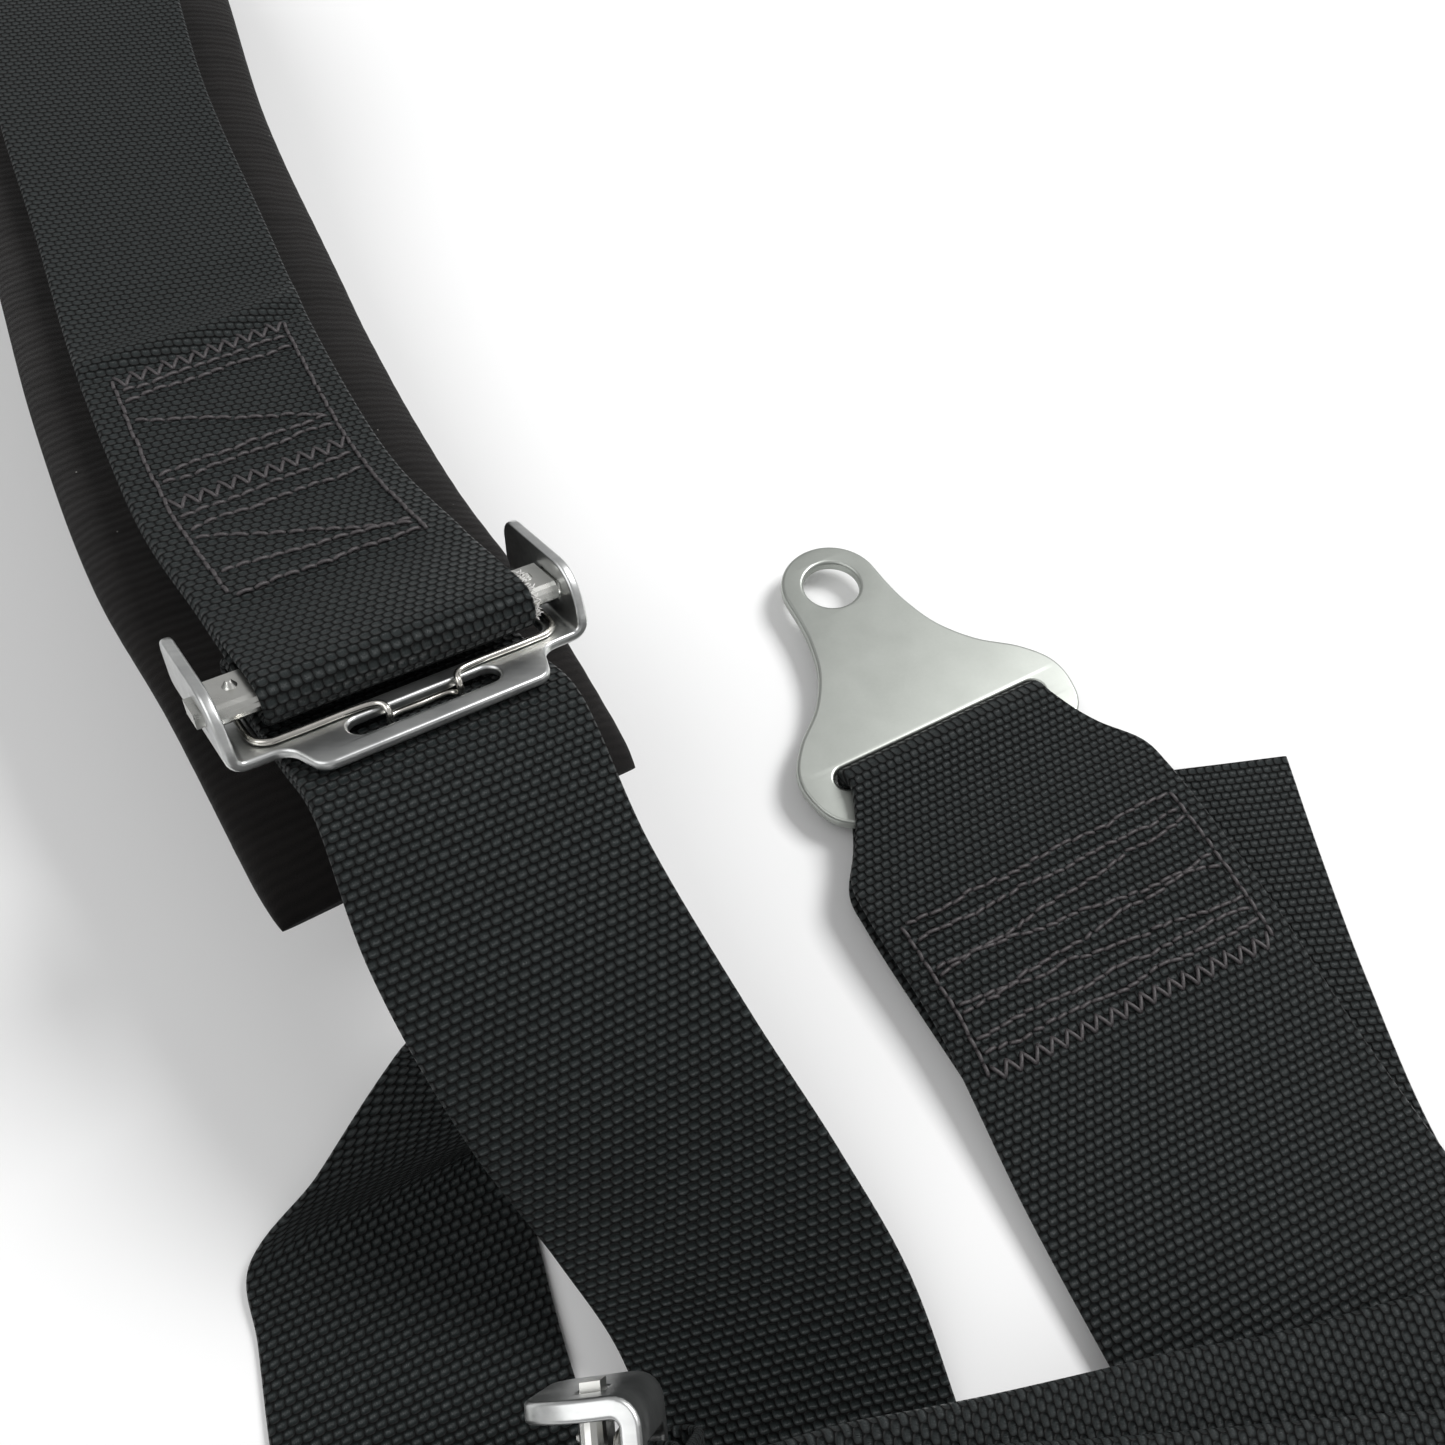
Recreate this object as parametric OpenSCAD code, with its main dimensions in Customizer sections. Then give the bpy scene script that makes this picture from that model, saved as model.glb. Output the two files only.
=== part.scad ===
// Four-point racing harness: two padded shoulder belts and two lap belts with a latch,
// unbuckled and lying on a flat surface. The origin is the centre of the right lap
// plate's bolt hole, on the plate's underside, and the surface is 4 mm below it.

/* [Webbing] */
// Width of the shoulder webbing
shoulder_w = 50; // [48:0.5:51]
// Width of the lap webbing
lap_w = 76; // [74:0.5:77]
// Thickness of one layer of webbing
web_t = 1.6; // [1.3:0.1:1.7]

/* [Shoulder pads] */
// Width of a shoulder pad
pad_w = 75; // [66:1:80]
// Thickness of a shoulder pad
pad_t = 10; // [8:0.5:11]

/* [Adjusters] */
// Sheet thickness of a shoulder adjuster
shoulder_sheet = 2; // [1.8:0.1:2.2]
// Sheet thickness of a lap adjuster
lap_sheet = 3; // [2.8:0.1:3.2]
// Distance from the webbing's edge to the outside of an adjuster's flange
flange_gap = 8.5; // [8:0.25:9]
// Height of a shoulder adjuster's flanges above its bar's axis
shoulder_flange = 6; // [5:0.25:7]
// Height of a lap adjuster's flanges above its bar's axis
lap_flange = 9.5; // [8:0.25:10]
// Diameter of the spring wire
wire_d = 1.2; // [1:0.05:1.25]

/* [Anchor plates] */
// Thickness of the anchor plates, tongues and latch base
plate_t = 3; // [3:0.1:3.2]
// Diameter of the hole for the mounting bolt
bolt_hole_d = 13.5; // [11:0.1:14]
// Length of the slot that the webbing goes through
slot_l = 54; // [53.5:0.5:55]

/* [Latch] */
// Diameter of the lever's hinge pin
pin_d = 6; // [5:0.5:6]
// Width of the lever
lever_w = 43; // [40:1:43]

/* [Hidden] */

layer_gap = 0.3;              // between two layers of webbing
metal_gap = 0.4;              // between an end loop and its plate
layer = web_t + layer_gap;    // from one layer's middle to the next layer's middle
plate_top = -5;               // top of an adjuster's base plate, below its bar's axis
wire_r = wire_d / 2;
slot_w = 5.4;                 // width of the webbing slot
slot_y = -47.5;               // from the bolt hole to the middle of the webbing slot
loop_end = -70;               // where an end fitting's webbing loop meets the strap
loop_edge = -50.4;              // centre of the loop's turn round the plate's edge
lever_axis = [20, 11];        // y and z of the latch lever's hinge
far_shoulder = [-235, 0, 0];  // from the right shoulder belt to the left one

// Where each fitting lies: [position, [pitch, roll, yaw]]
shoulder_anchor_pose = [[-316, 434, -2], [0, 0, 25]];
shoulder_adjuster_pose = [[-83.5, -60, 61], [14, -10.5, 215]];
shoulder_tongue_pose = [[28, -337, -2], [0, 0, 194]];
lap_anchor_pose = [[0, 0, 0], [0, 0, 28]];
right_lap_adjuster_pose = [[137, -287, 9.6], [0, 0, 25.5]];
right_lap_tongue_pose = [[190, -399, -2], [0, 0, 205.5]];
left_lap_anchor_pose = [[275, -190, -2], [0, 0, -83]];
left_lap_adjuster_pose = [[-38.5, -217.5, 24], [96.5, 11.5, -82.5]];
latch_pose = [[-170, -219, -2], [0, 0, 90]];

// Strap routes: the middle of the webbing and the direction across it, as
// [x, y, z, turn in plan, tilt]
upper_strap_route = [
    [-272, 337, 8, 24, 0], [-254, 294, 25, 22, 0], [-234, 244, 43, 20, -2],
    [-218, 204, 54, 20, -4], [-205, 172, 58, 20, -4], [-185, 120, 55, 23, -8],
    [-161, 70, 52, 26, -10], [-137, 21, 53, 29, -11], [-114, -19, 55, 32, -11]
];
pad_route = [
    [-246, 274, 23, 21, -2], [-234, 244, 34, 20, -2], [-218, 204, 45, 20, -4],
    [-205, 172, 49, 20, -4], [-185, 120, 46, 23, -8], [-161, 70, 43, 26, -10],
    [-137, 21, 43, 28, -11], [-114, -20, 42.5, 31, -11], [-94, -48, 39.5, 32, -12],
    [-72, -84, 33, 33, -14]
];
lower_strap_route = [
    [-60, -103, 47, 31, -6], [-45, -127, 32, 26, 4], [-32, -144, 16, 20, 9],
    [-22, -159, 4, 15, 7], [-14, -178, -2.5, 13, 0], [-4, -210, -3, 14, 0],
    [4, -246, -2, 14, 0]
];
tail_route = [
    [-62, -104, 41.5, 22, -5], [-56, -116, 26, 0, 5], [-62, -119, 13, -8, 8],
    [-75, -130, 4, 14, 5], [-86, -139, -1.5, 27, 0], [-81, -152, -3, 25, 0],
    [-74, -171, -3, 24, 0], [-66, -190, -3, 22, 0], [-56, -215, -3, 18, 0],
    [-50, -235, -3, 15, 0]
];
right_lap_route = [
    [50, -93, 2.6, 26, -1], [67, -128, 0, 24, 0], [84, -164, -0.8, 24, 0],
    [99, -197, -0.8, 25, 0], [113, -230, -0.9, 25, 0]
];
right_lap_tail_route = [
    [62, -50, -3, 0, 0], [63, -72, -3, 1, 0], [65, -100, -3, 3, 0], [69, -135, -3, 6, 0],
    [79, -167, -3, 16, 0], [93, -199, -3, 24, 0], [109, -232, -3, 25, 0]
];
left_lap_route = [
    [-29.5, -221, 50.5, -83, -12], [-24, -220.3, 55.5, -83, -12],
    [-15, -219.3, 54, -84, -12], [0, -218, 43.5, -85, -12], [14, -216.7, 32.5, -86, -11],
    [33, -215.4, 20.8, -86, -9], [53, -213.8, 13, -86, -6.5], [73, -212.1, 8.8, -86, -4.5],
    [91, -210.9, 6.7, -86, -3], [150, -206, 4.5, -85, 0], [190, -201, 3, -84, 0]
];
left_lap_tail_route = [
    [-27, -219.8, 48.5, -82, -12], [-23.5, -219, 51.7, -82, -13],
    [-16.5, -217.4, 50.6, -82, -14], [-4, -213.8, 42, -80, -16], [8, -211.4, 33.3, -80, -16],
    [19, -209.3, 25.3, -80, -14.5], [39, -205.2, 14.5, -79, -11.5], [53, -202.3, 9, -79, -8.5],
    [73, -199, 5.2, -78, -5], [88, -195.5, 3.6, -78, -3], [103, -192, 2.6, -78, -2]
];
latch_strap_route = [
    [-44, -216.6, 10, -84, -10], [-49, -217, 5.4, -86, -8], [-58, -217.6, 4, -88, -5.5],
    [-71, -218.3, 3, -89, -3], [-86, -219, 2.3, -90, -1]
];

// ---------------------------------------------------------------- placing
function turned(p, r) =
    let (a = [p.x, p.y * cos(r.x) - p.z * sin(r.x), p.y * sin(r.x) + p.z * cos(r.x)],
         b = [a.x * cos(r.y) + a.z * sin(r.y), a.y, -a.x * sin(r.y) + a.z * cos(r.y)])
    [b.x * cos(r.z) - b.y * sin(r.z), b.x * sin(r.z) + b.y * cos(r.z), b.z];
function placed(p, pose) = pose[0] + turned(p, pose[1]);

module place(pose) {
    translate(pose[0]) rotate(pose[1]) children();
}

// ---------------------------------------------------------------- ribbons
// A ribbon is a list of stations, [x, y, z, across x, across y, across z, width].
function join(p, a, w) = [p.x, p.y, p.z, a.x, a.y, a.z, w];
function middle(s) = [s[0], s[1], s[2]];
function across(s) = [s[3], s[4], s[5]];

// Stations from a route's rows
function route(rows, w) = [
    for (r = rows)
        join([r.x, r.y, r.z], [cos(r[3]) * cos(r[4]), sin(r[3]) * cos(r[4]), sin(r[4])], w)
];

// Stations from [y, z] or [y, z, width] points in a fitting's own frame
function profile(points, pose, w, side = 1) = [
    for (q = points)
        join(placed([0, q[0], q[1]], pose), turned([side, 0, 0], pose[1]),
             len(q) > 2 ? q[2] : w)
];

function reversed(list) = [for (i = [len(list) - 1:-1:0]) list[i]];
function step(a, b) = pow(max(norm(middle(b) - middle(a)), 0.01), 0.5);
function mix(a, b, u) = a + (b - a) * u;

// One point of a centripetal spline through b and c, with neighbours a and d
function between(a, b, c, d, u) =
    let (t1 = step(a, b), t2 = t1 + step(b, c), t3 = t2 + step(c, d),
         t = mix(t1, t2, u),
         p = mix(a, b, t / t1), q = mix(b, c, (t - t1) / (t2 - t1)),
         r = mix(c, d, (t - t2) / (t3 - t2)),
         f = mix(p, q, t / t2), g = mix(q, r, (t - t1) / (t3 - t1)))
    mix(f, g, (t - t1) / (t2 - t1));

function spline(s) =
    let (e = concat([2 * s[0] - s[1]], s, [2 * s[len(s) - 1] - s[len(s) - 2]]))
    concat([for (i = [1:len(s) - 1])
                let (n = 1 + ceil(norm(middle(e[i + 1]) - middle(e[i])) / 12))
                for (k = [0:n - 1]) between(e[i - 1], e[i], e[i + 1], e[i + 2], k / n)],
           [s[len(s) - 1]]);

function tangent(s, i) =
    let (v = middle(s[min(i + 1, len(s) - 1)]) - middle(s[max(i - 1, 0)])) v / norm(v);
function normal(s, i) = let (v = cross(tangent(s, i), across(s[i]))) v / norm(v);

// The same ribbon, moved by d along its normals
function offset_by(s, d) = [
    for (i = [0:len(s) - 1]) join(middle(s[i]) + d * normal(s, i), across(s[i]), s[i][6])
];

// Sweeps rings of n points each into a closed solid
module skin(rings) {
    n = len(rings[0]);
    last = (len(rings) - 1) * n;
    polyhedron(
        points = [for (r = rings) for (p = r) p],
        faces = concat(
            [[for (i = [0:n - 1]) i]],
            [[for (i = [n - 1:-1:0]) last + i]],
            [for (k = [0:len(rings) - 2]) for (i = [0:n - 1])
                let (a = k * n + i, b = k * n + (i + 1) % n)
                for (f = [[a, a + n, b], [b, a + n, b + n]]) f]));
}

module ribbon(control, t = web_t) {
    s = spline(control);
    skin([for (i = [0:len(s) - 1])
        let (c = middle(s[i]), a = across(s[i]) * s[i][6] / 2, n = normal(s, i) * t / 2)
        [c - a - n, c + a - n, c + a + n, c - a + n]]);
}

// A padded strip with a rounded edge and rounded ends
module padding(control, t) {
    s = spline(control);
    last = len(s) - 1;
    skin([for (i = [0:last])
        let (c = middle(s[i]), n = normal(s, i),
             thin = (i == 0 || i == last) ? 0.35 : (i == 1 || i == last - 1) ? 0.9 : 1)
        [for (k = [0:13])
            let (u = 360 * (k + 0.5) / 14, x = cos(u), z = sin(u))
            c + across(s[i]) * sign(x) * pow(abs(x), 0.45) * s[i][6] / 2
              + n * sign(z) * pow(abs(z), 0.8) * thin * t / 2]]);
}

// A round wire swept along points
module wire(p, r) {
    last = len(p) - 1;
    skin([for (i = [0:last])
        let (v = p[min(i + 1, last)] - p[max(i - 1, 0)], t = v / norm(v),
             side = cross(t, abs(t.z) < 0.9 ? [0, 0, 1] : [0, 1, 0]),
             a = side / norm(side), b = cross(t, a))
        [for (k = [0:7]) p[i] + r * (a * cos(45 * k) + b * sin(45 * k))]]);
}

module stadium(l, w) {
    square([l - w, w], center = true);
    for (s = [-1, 1]) translate([s * (l - w) / 2, 0]) circle(d = w, $fn = 32);
}

// ---------------------------------------------------------------- anchor plate
// Half of the outline below the ring, from the bolt hole to the webbing end
flank = [
    [10.8, -1], [12.3, -9], [15.2, -20], [21.5, -29], [29, -35.5], [33.5, -42],
    [34, -49], [31, -56], [22, -61], [10, -63.2]
];

function curve(p) =
    let (e = concat([2 * p[0] - p[1]], p, [2 * p[len(p) - 1] - p[len(p) - 2]]))
    [for (i = [1:len(p) - 1]) for (k = [0:3])
        let (u = k / 4, a = e[i - 1], b = e[i], c = e[i + 1], d = e[i + 2])
        (2 * b + (c - a) * u + (2 * a - 5 * b + 4 * c - d) * u * u
            + (3 * b - a - 3 * c + d) * u * u * u) / 2];

module anchor_flanks() {
    half = curve(flank);
    polygon(concat(half, [[0, -63.7]], [for (p = reversed(half)) [-p.x, p.y]]));
}

module webbing_slot() {
    translate([0, slot_y, -1]) linear_extrude(plate_t + 2) stadium(slot_l, slot_w);
}

module anchor_plate() {
    difference() {
        union() {
            cylinder(r = 12, h = plate_t, $fn = 64);
            linear_extrude(plate_t) anchor_flanks();
        }
        translate([0, 0, -1]) cylinder(d = bolt_hole_d, h = plate_t + 2, $fn = 64);
        webbing_slot();
    }
}

// ---------------------------------------------------------------- tongue
tongue_window = [24, 13];

module rounded_box(l, w, r) {
    square([l - 2 * r, w], center = true);
    square([l, w - 2 * r], center = true);
    for (x = [-1, 1]) for (y = [-1, 1])
        translate([x * (l / 2 - r), y * (w / 2 - r)]) circle(r = r, $fn = 32);
}

module tongue_plate() {
    difference() {
        union() {
            linear_extrude(plate_t) translate([0, -1]) rounded_box(42, 36, 9);
            linear_extrude(plate_t) polygon([[-20, -5], [20, -5], [31.5, -45], [-31.5, -45]]);
            linear_extrude(plate_t) translate([0, -50]) rounded_box(68, 26, 9);
        }
        translate([0, 0, -1]) linear_extrude(plate_t + 2)
            rounded_box(tongue_window.x, tongue_window.y, 3);
        webbing_slot();
    }
}

// ---------------------------------------------------------------- end loops
// The webbing that turns round the plate's edge, from the top layer to the layer below
function loop_points(w) =
    let (top = top_z, mid = plate_t / 2, r = top - mid,
         wide = min(w, 74), bunched = min(w, 51))
    concat([[loop_end, top, wide], [-62, top, mix(bunched, wide, 0.5)],
            [-56, top, mix(bunched, wide, 0.2)]],
           [for (u = [90:-22.5:-90]) [loop_edge + r * cos(u), mid + r * sin(u), bunched]],
           [[-56, mid - r, mix(bunched, wide, 0.2)], [-62, mid - r, mix(bunched, wide, 0.5)],
            [loop_end, mid - r, wide]]);

module end_loop(pose, w) {
    color([0.13, 0.14, 0.14]) ribbon(profile(loop_points(w), pose, w));
}

top_z = plate_t + metal_gap + web_t / 2;   // a loop's top layer above the plate's underside
under_z = -metal_gap - web_t / 2;          // and its lower layer
joint_gap = 0.3;                           // between a loop and the strap that it continues

// The strap's own start at an end fitting, top layer and lower layer
function strap_start(pose, w, side = 1) =
    profile([[loop_end - joint_gap, top_z, min(w, 74)], [loop_end - 8, top_z, w]],
            pose, w, side);

module lower_flap(pose, w, rise, length) {
    y0 = loop_end - joint_gap;
    ribbon(profile([[y0, under_z, min(w, 74)], [y0 - 8, under_z + 0.2 * rise, w],
                    [y0 - length, under_z + rise, w]], pose, w));
}

// ---------------------------------------------------------------- adjuster
bar_y = 4.5;      // half of the bar's depth
bar_z = 2;        // half of its thickness
flange_rear = -17;
plate_rear = -14.5;
lip_shoulder = 10.6;
lip_front = 18.4;
lip_rear = 7.6;
lip_slot_y = 12.4;
lip_slot = [27.6, 4.2];
window_rear = -10.8;
lug = [5, 3];

module lip_outline(half) {
    ogee = [for (k = [0:8])
        [half - 6.5 - 7 * k / 8, lip_shoulder + (lip_front - lip_shoulder) * (1 - cos(22.5 * k)) / 2]];
    polygon(concat(
        [[-half, plate_rear], [half, plate_rear], [half, lip_shoulder]], ogee,
        [for (p = reversed(ogee)) [-p.x, p.y]], [[-half, lip_shoulder]]));
}

module flange_outline(bottom, top) {
    r = 4;
    turn = [2, plate_top];
    polygon(concat(
        [[flange_rear, bottom], [lip_shoulder, bottom]],
        [for (k = [0:9]) turn + [(lip_shoulder - turn.x) * cos(10 * k),
                                 (top - turn.y) * sin(10 * k)]],
        [for (k = [0:6]) [flange_rear + r - r * sin(15 * k), top - r + r * cos(15 * k)]]));
}

module adjuster_frame(w, t, top) {
    half = w / 2 + flange_gap;
    difference() {
        union() {
            translate([0, 0, plate_top - t]) linear_extrude(t) lip_outline(half);
            for (x = [-half, half - t])
                translate([x, 0, 0]) rotate([90, 0, 90]) linear_extrude(t)
                    flange_outline(plate_top - t, top);
        }
        translate([-w / 2 - 1.5, window_rear, plate_top - t - 1])
            cube([w + 3, lip_rear - window_rear, t + 2]);
        translate([0, lip_slot_y, plate_top - t - 1])
            linear_extrude(t + 2) stadium(lip_slot.x, lip_slot.y);
        translate([-half - 1, -lug.x / 2 - 0.3, -lug.y / 2 - 0.3])
            cube([2 * half + 2, lug.x + 1.6, lug.y + 0.6]);
    }
}

module adjuster_bar(w, t) {
    half = w / 2 + flange_gap;
    body = 2 * (half - t - 0.4);
    front = bar_y - bar_z;
    translate([-body / 2, 0, 0]) rotate([90, 0, 90]) linear_extrude(body)
        polygon(concat([[1 - bar_y, -bar_z], [front, -bar_z]],
                       [for (k = [-3:3]) [front + bar_z * cos(26 * k), bar_z * sin(26 * k)]],
                       [[front, bar_z], [-bar_y, bar_z], [-bar_y, 1 - bar_z]]));
    translate([-half - 1.2, -lug.x / 2, -lug.y / 2]) cube([2 * half + 2.4, lug.x, lug.y]);
    for (s = [-1, 1])
        translate([s * (w / 2 + 2.4), -1, bar_z - 0.2]) cylinder(r1 = 1.4, r2 = 0.5, h = 1.3, $fn = 24);
}

// Half of the spring's wire, from the middle under the lip out to the end under the bar
function spring_half(w, t) =
    let (under = plate_top - t - wire_r - 0.2, over = plate_top + wire_r + 0.2, x = w / 2)
    [[0, 9.4, under], [5.2, 9.4, under], [6.2, 10.2, under], [6.6, 11.4, under + 0.4],
     [6.6, 11.9, plate_top - t / 2], [6.6, 11.4, over - 0.4], [6.9, 10.2, over],
     [8.2, 9.2, over], [x - 3, 8.8, over], [x + 1, 8.5, over], [x + 2.8, 7, over],
     [x + 3.2, 5, over], [x + 3.2, 0.5, over]];

module adjuster_spring(w, t) {
    half = spring_half(w, t);
    wire(concat([for (p = reversed(half)) [-p.x, p.y, p.z]],
                [for (i = [1:len(half) - 1]) half[i]]), wire_r);
}

// Webbing sewn round the bar, from the lower layer's end over the bar to the top layer
sewn_points = [
    [-24, 1.7], [-17, 1.0], [-12, 0.6], [-9.4, -0.4], [-7.2, -2.2], [-4.6, -3.6], [-1, -3.7],
    [3.2, -3.7], [5.4, -2.8], [6.3, -1], [6.3, 1], [5.4, 2.8], [3.2, 3.7], [-4, 3.7],
    [-12, 3.6], [-20, 3.7]
];

// Webbing that runs under the lip, round the frame's rear member and back out below
function running_points(t) =
    let (upper = plate_top - t - wire_d - 0.7 - web_t / 2, lower = upper - layer - 0.1,
         over = plate_top + 1 + web_t / 2, r = (over - lower) / 2, mid = (over + lower) / 2)
    concat([[20, upper], [8, upper], [-2.5, upper], [-5.4, upper + 1.2],
            [-7.6, plate_top - 0.9], [-9.4, plate_top + 1.1], [-11.5, over]],
           [for (u = [90:30:270]) [-14 + r * cos(u), mid + r * sin(u)]],
           [[-5, lower], [8, lower], [20, lower]]);

// ---------------------------------------------------------------- shoulder belt
module shoulder_anchor() {
    color([0.72, 0.75, 0.73]) place(shoulder_anchor_pose) anchor_plate();
}

module shoulder_upper_strap() {
    along = concat(strap_start(shoulder_anchor_pose, shoulder_w),
                   route(upper_strap_route, shoulder_w));
    sewn = profile(sewn_points, shoulder_adjuster_pose, shoulder_w, -1);
    near = [for (i = [len(along) - 2:len(along) - 1]) along[i]];
    all = concat(along, reversed(sewn));
    color([0.13, 0.14, 0.14]) {
        ribbon(concat(all, [for (i = [len(along) - 1:-1:len(along) - 2])
            join(middle(all[i]) - (layer + 0.1) * normal(all, i), across(all[i]), shoulder_w)]));
        lower_flap(shoulder_anchor_pose, shoulder_w, 1.5, 12);
    }
}

module shoulder_pad() {
    color([0.14, 0.12, 0.12]) padding(route(pad_route, pad_w), pad_t);
}

module shoulder_lower_strap() {
    run = profile(running_points(shoulder_sheet), shoulder_adjuster_pose, shoulder_w, -1);
    color([0.13, 0.14, 0.14]) {
        ribbon(concat(strap_start(shoulder_tongue_pose, shoulder_w, -1),
                      reversed(route(lower_strap_route, shoulder_w)), run,
                      route(tail_route, shoulder_w)));
        lower_flap(shoulder_tongue_pose, shoulder_w, 0, 12);
    }
}

module shoulder_adjuster_frame() {
    color([0.78, 0.79, 0.8]) place(shoulder_adjuster_pose)
        adjuster_frame(shoulder_w, shoulder_sheet, shoulder_flange);
}

module shoulder_adjuster_bar() {
    color([0.7, 0.72, 0.74]) place(shoulder_adjuster_pose)
        adjuster_bar(shoulder_w, shoulder_sheet);
}

module shoulder_adjuster_spring() {
    color([0.8, 0.78, 0.74]) place(shoulder_adjuster_pose)
        adjuster_spring(shoulder_w, shoulder_sheet);
}

module shoulder_tongue() {
    color([0.72, 0.75, 0.73]) place(shoulder_tongue_pose) tongue_plate();
}

// ---------------------------------------------------------------- right lap belt
module right_lap_anchor() {
    color([0.72, 0.75, 0.73]) place(lap_anchor_pose) anchor_plate();
}

module right_lap_strap() {
    run = profile(running_points(lap_sheet), right_lap_adjuster_pose, lap_w);
    color([0.13, 0.14, 0.14]) {
        ribbon(concat(strap_start(lap_anchor_pose, lap_w), route(right_lap_route, lap_w), run,
                      reversed(route(right_lap_tail_route, lap_w))));
        lower_flap(lap_anchor_pose, lap_w, 0.9, 45);
    }
}

module right_lap_inner_strap() {
    sewn = profile(sewn_points, right_lap_adjuster_pose, lap_w);
    color([0.13, 0.14, 0.14]) {
        ribbon(concat(strap_start(right_lap_tongue_pose, lap_w, -1), reversed(sewn)));
        lower_flap(right_lap_tongue_pose, lap_w, 1, 12);
    }
}

module right_lap_tongue() {
    color([0.72, 0.75, 0.73]) place(right_lap_tongue_pose) tongue_plate();
}

// ---------------------------------------------------------------- left lap belt
module left_lap_anchor() {
    color([0.72, 0.75, 0.73]) place(left_lap_anchor_pose) anchor_plate();
}

module left_lap_strap() {
    run = profile(running_points(lap_sheet), left_lap_adjuster_pose, lap_w);
    color([0.13, 0.14, 0.14]) {
        ribbon(concat(strap_start(left_lap_anchor_pose, lap_w),
                      reversed(route(left_lap_route, lap_w)), run,
                      route(left_lap_tail_route, lap_w)));
        lower_flap(left_lap_anchor_pose, lap_w, 0, 12);
    }
}

module left_lap_inner_strap() {
    bar_turn = [for (i = [2:13]) sewn_points[i]];
    away = route(latch_strap_route, lap_w);
    doubled = offset_by(away, -layer - 0.2);
    turn = [for (p = loop_points(lap_w)) if (p[0] > -60) p];
    color([0.13, 0.14, 0.14])
        ribbon(concat([for (i = [2:-1:0]) doubled[i]],
                      profile(bar_turn, left_lap_adjuster_pose, lap_w), away,
                      profile(concat(turn, [[-62, under_z, 62], [-72, under_z, lap_w]]),
                              latch_pose, lap_w, -1)));
}

// ---------------------------------------------------------------- latch
ear_x = 25;       // outside of the base's ears
ear_t = 3;

module ear_outline() {
    translate([lever_axis.x, lever_axis.y]) circle(r = 7, $fn = 48);
    translate([lever_axis.x - 9, 0]) square([18, lever_axis.y - 1]);
}

module latch_base() {
    color([0.72, 0.75, 0.73]) place(latch_pose) difference() {
        union() {
            linear_extrude(plate_t) {
                translate([0, 3]) rounded_box(2 * ear_x, 56, 6);
                polygon([[-24, -8], [24, -8], [31.5, -45], [-31.5, -45]]);
                translate([0, -50]) rounded_box(68, 26, 9);
            }
            for (x = [-ear_x, ear_x - ear_t])
                translate([x, 0, 0]) rotate([90, 0, 90]) linear_extrude(ear_t) ear_outline();
            translate([0, -6, 0]) linear_extrude(9) rounded_box(22, 9, 3);
        }
        webbing_slot();
        translate([-ear_x - 1, lever_axis.x, lever_axis.y]) rotate([0, 90, 0])
            cylinder(d = pin_d + 0.1, h = 2 * ear_x + 2, $fn = 48);
    }
}

module latch_lever() {
    knuckle = 8;
    color([0.7, 0.72, 0.74]) place(latch_pose) difference() {
        union() {
            for (x = [-lever_w / 2, knuckle])
                translate([x, lever_axis.x, lever_axis.y]) rotate([0, 90, 0])
                    cylinder(r = 6, h = lever_w / 2 - knuckle, $fn = 48);
            translate([0, 0, 14]) linear_extrude(3)
                translate([0, -6]) rounded_box(lever_w, 52, 5);
            translate([0, -31, 14]) rotate([-28, 0, 0]) linear_extrude(3)
                rounded_box(lever_w, 16, 6);
        }
        translate([-lever_w, lever_axis.x, lever_axis.y]) rotate([0, 90, 0])
            cylinder(d = pin_d + 0.3, h = 2 * lever_w, $fn = 48);
        translate([-knuckle, lever_axis.x - 7, lever_axis.y - 7])
            cube([2 * knuckle, 16, 14]);
    }
}

module latch_pin() {
    color([0.8, 0.8, 0.8]) place(latch_pose)
        translate([-ear_x - 1.4, lever_axis.x, lever_axis.y]) rotate([0, 90, 0]) {
            cylinder(d = pin_d, h = 2 * ear_x + 2.8, $fn = 48);
            for (z = [0, 2 * ear_x + 1.5]) translate([0, 0, z]) cylinder(r = 4.6, h = 1.3, $fn = 48);
        }
}

module latch_spring() {
    coil_r = pin_d / 2 + 1.3;
    turns = 5;
    pitch = 1.9;
    start = -turns * pitch / 2;
    coil = [for (u = [0:30:360 * turns])
        [start + pitch * u / 360, lever_axis.x - coil_r * sin(u), lever_axis.y - coil_r * cos(u)]];
    color([0.8, 0.78, 0.74]) place(latch_pose)
        wire(concat([[start, 4, plate_t + 1], [start, 12, plate_t + 2]], coil,
                    [[-start, 15, lever_axis.y - coil_r - 0.3], [-start, 11, lever_axis.y - coil_r]]),
             0.6);
}

// ---------------------------------------------------------------- assembly
shoulder_anchor();  // right_shoulder_anchor
end_loop(shoulder_anchor_pose, shoulder_w);  // right_shoulder_anchor_loop
shoulder_upper_strap();  // right_shoulder_upper_strap
shoulder_pad();  // right_shoulder_pad
shoulder_adjuster_frame();  // right_shoulder_adjuster_frame
shoulder_adjuster_bar();  // right_shoulder_adjuster_bar
shoulder_adjuster_spring();  // right_shoulder_adjuster_spring
shoulder_lower_strap();  // right_shoulder_lower_strap
shoulder_tongue();  // right_shoulder_tongue
end_loop(shoulder_tongue_pose, shoulder_w);  // right_shoulder_tongue_loop
translate(far_shoulder) shoulder_anchor();  // left_shoulder_anchor
translate(far_shoulder) end_loop(shoulder_anchor_pose, shoulder_w);  // left_shoulder_anchor_loop
translate(far_shoulder) shoulder_upper_strap();  // left_shoulder_upper_strap
translate(far_shoulder) shoulder_pad();  // left_shoulder_pad
translate(far_shoulder) shoulder_adjuster_frame();  // left_shoulder_adjuster_frame
translate(far_shoulder) shoulder_adjuster_bar();  // left_shoulder_adjuster_bar
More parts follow.
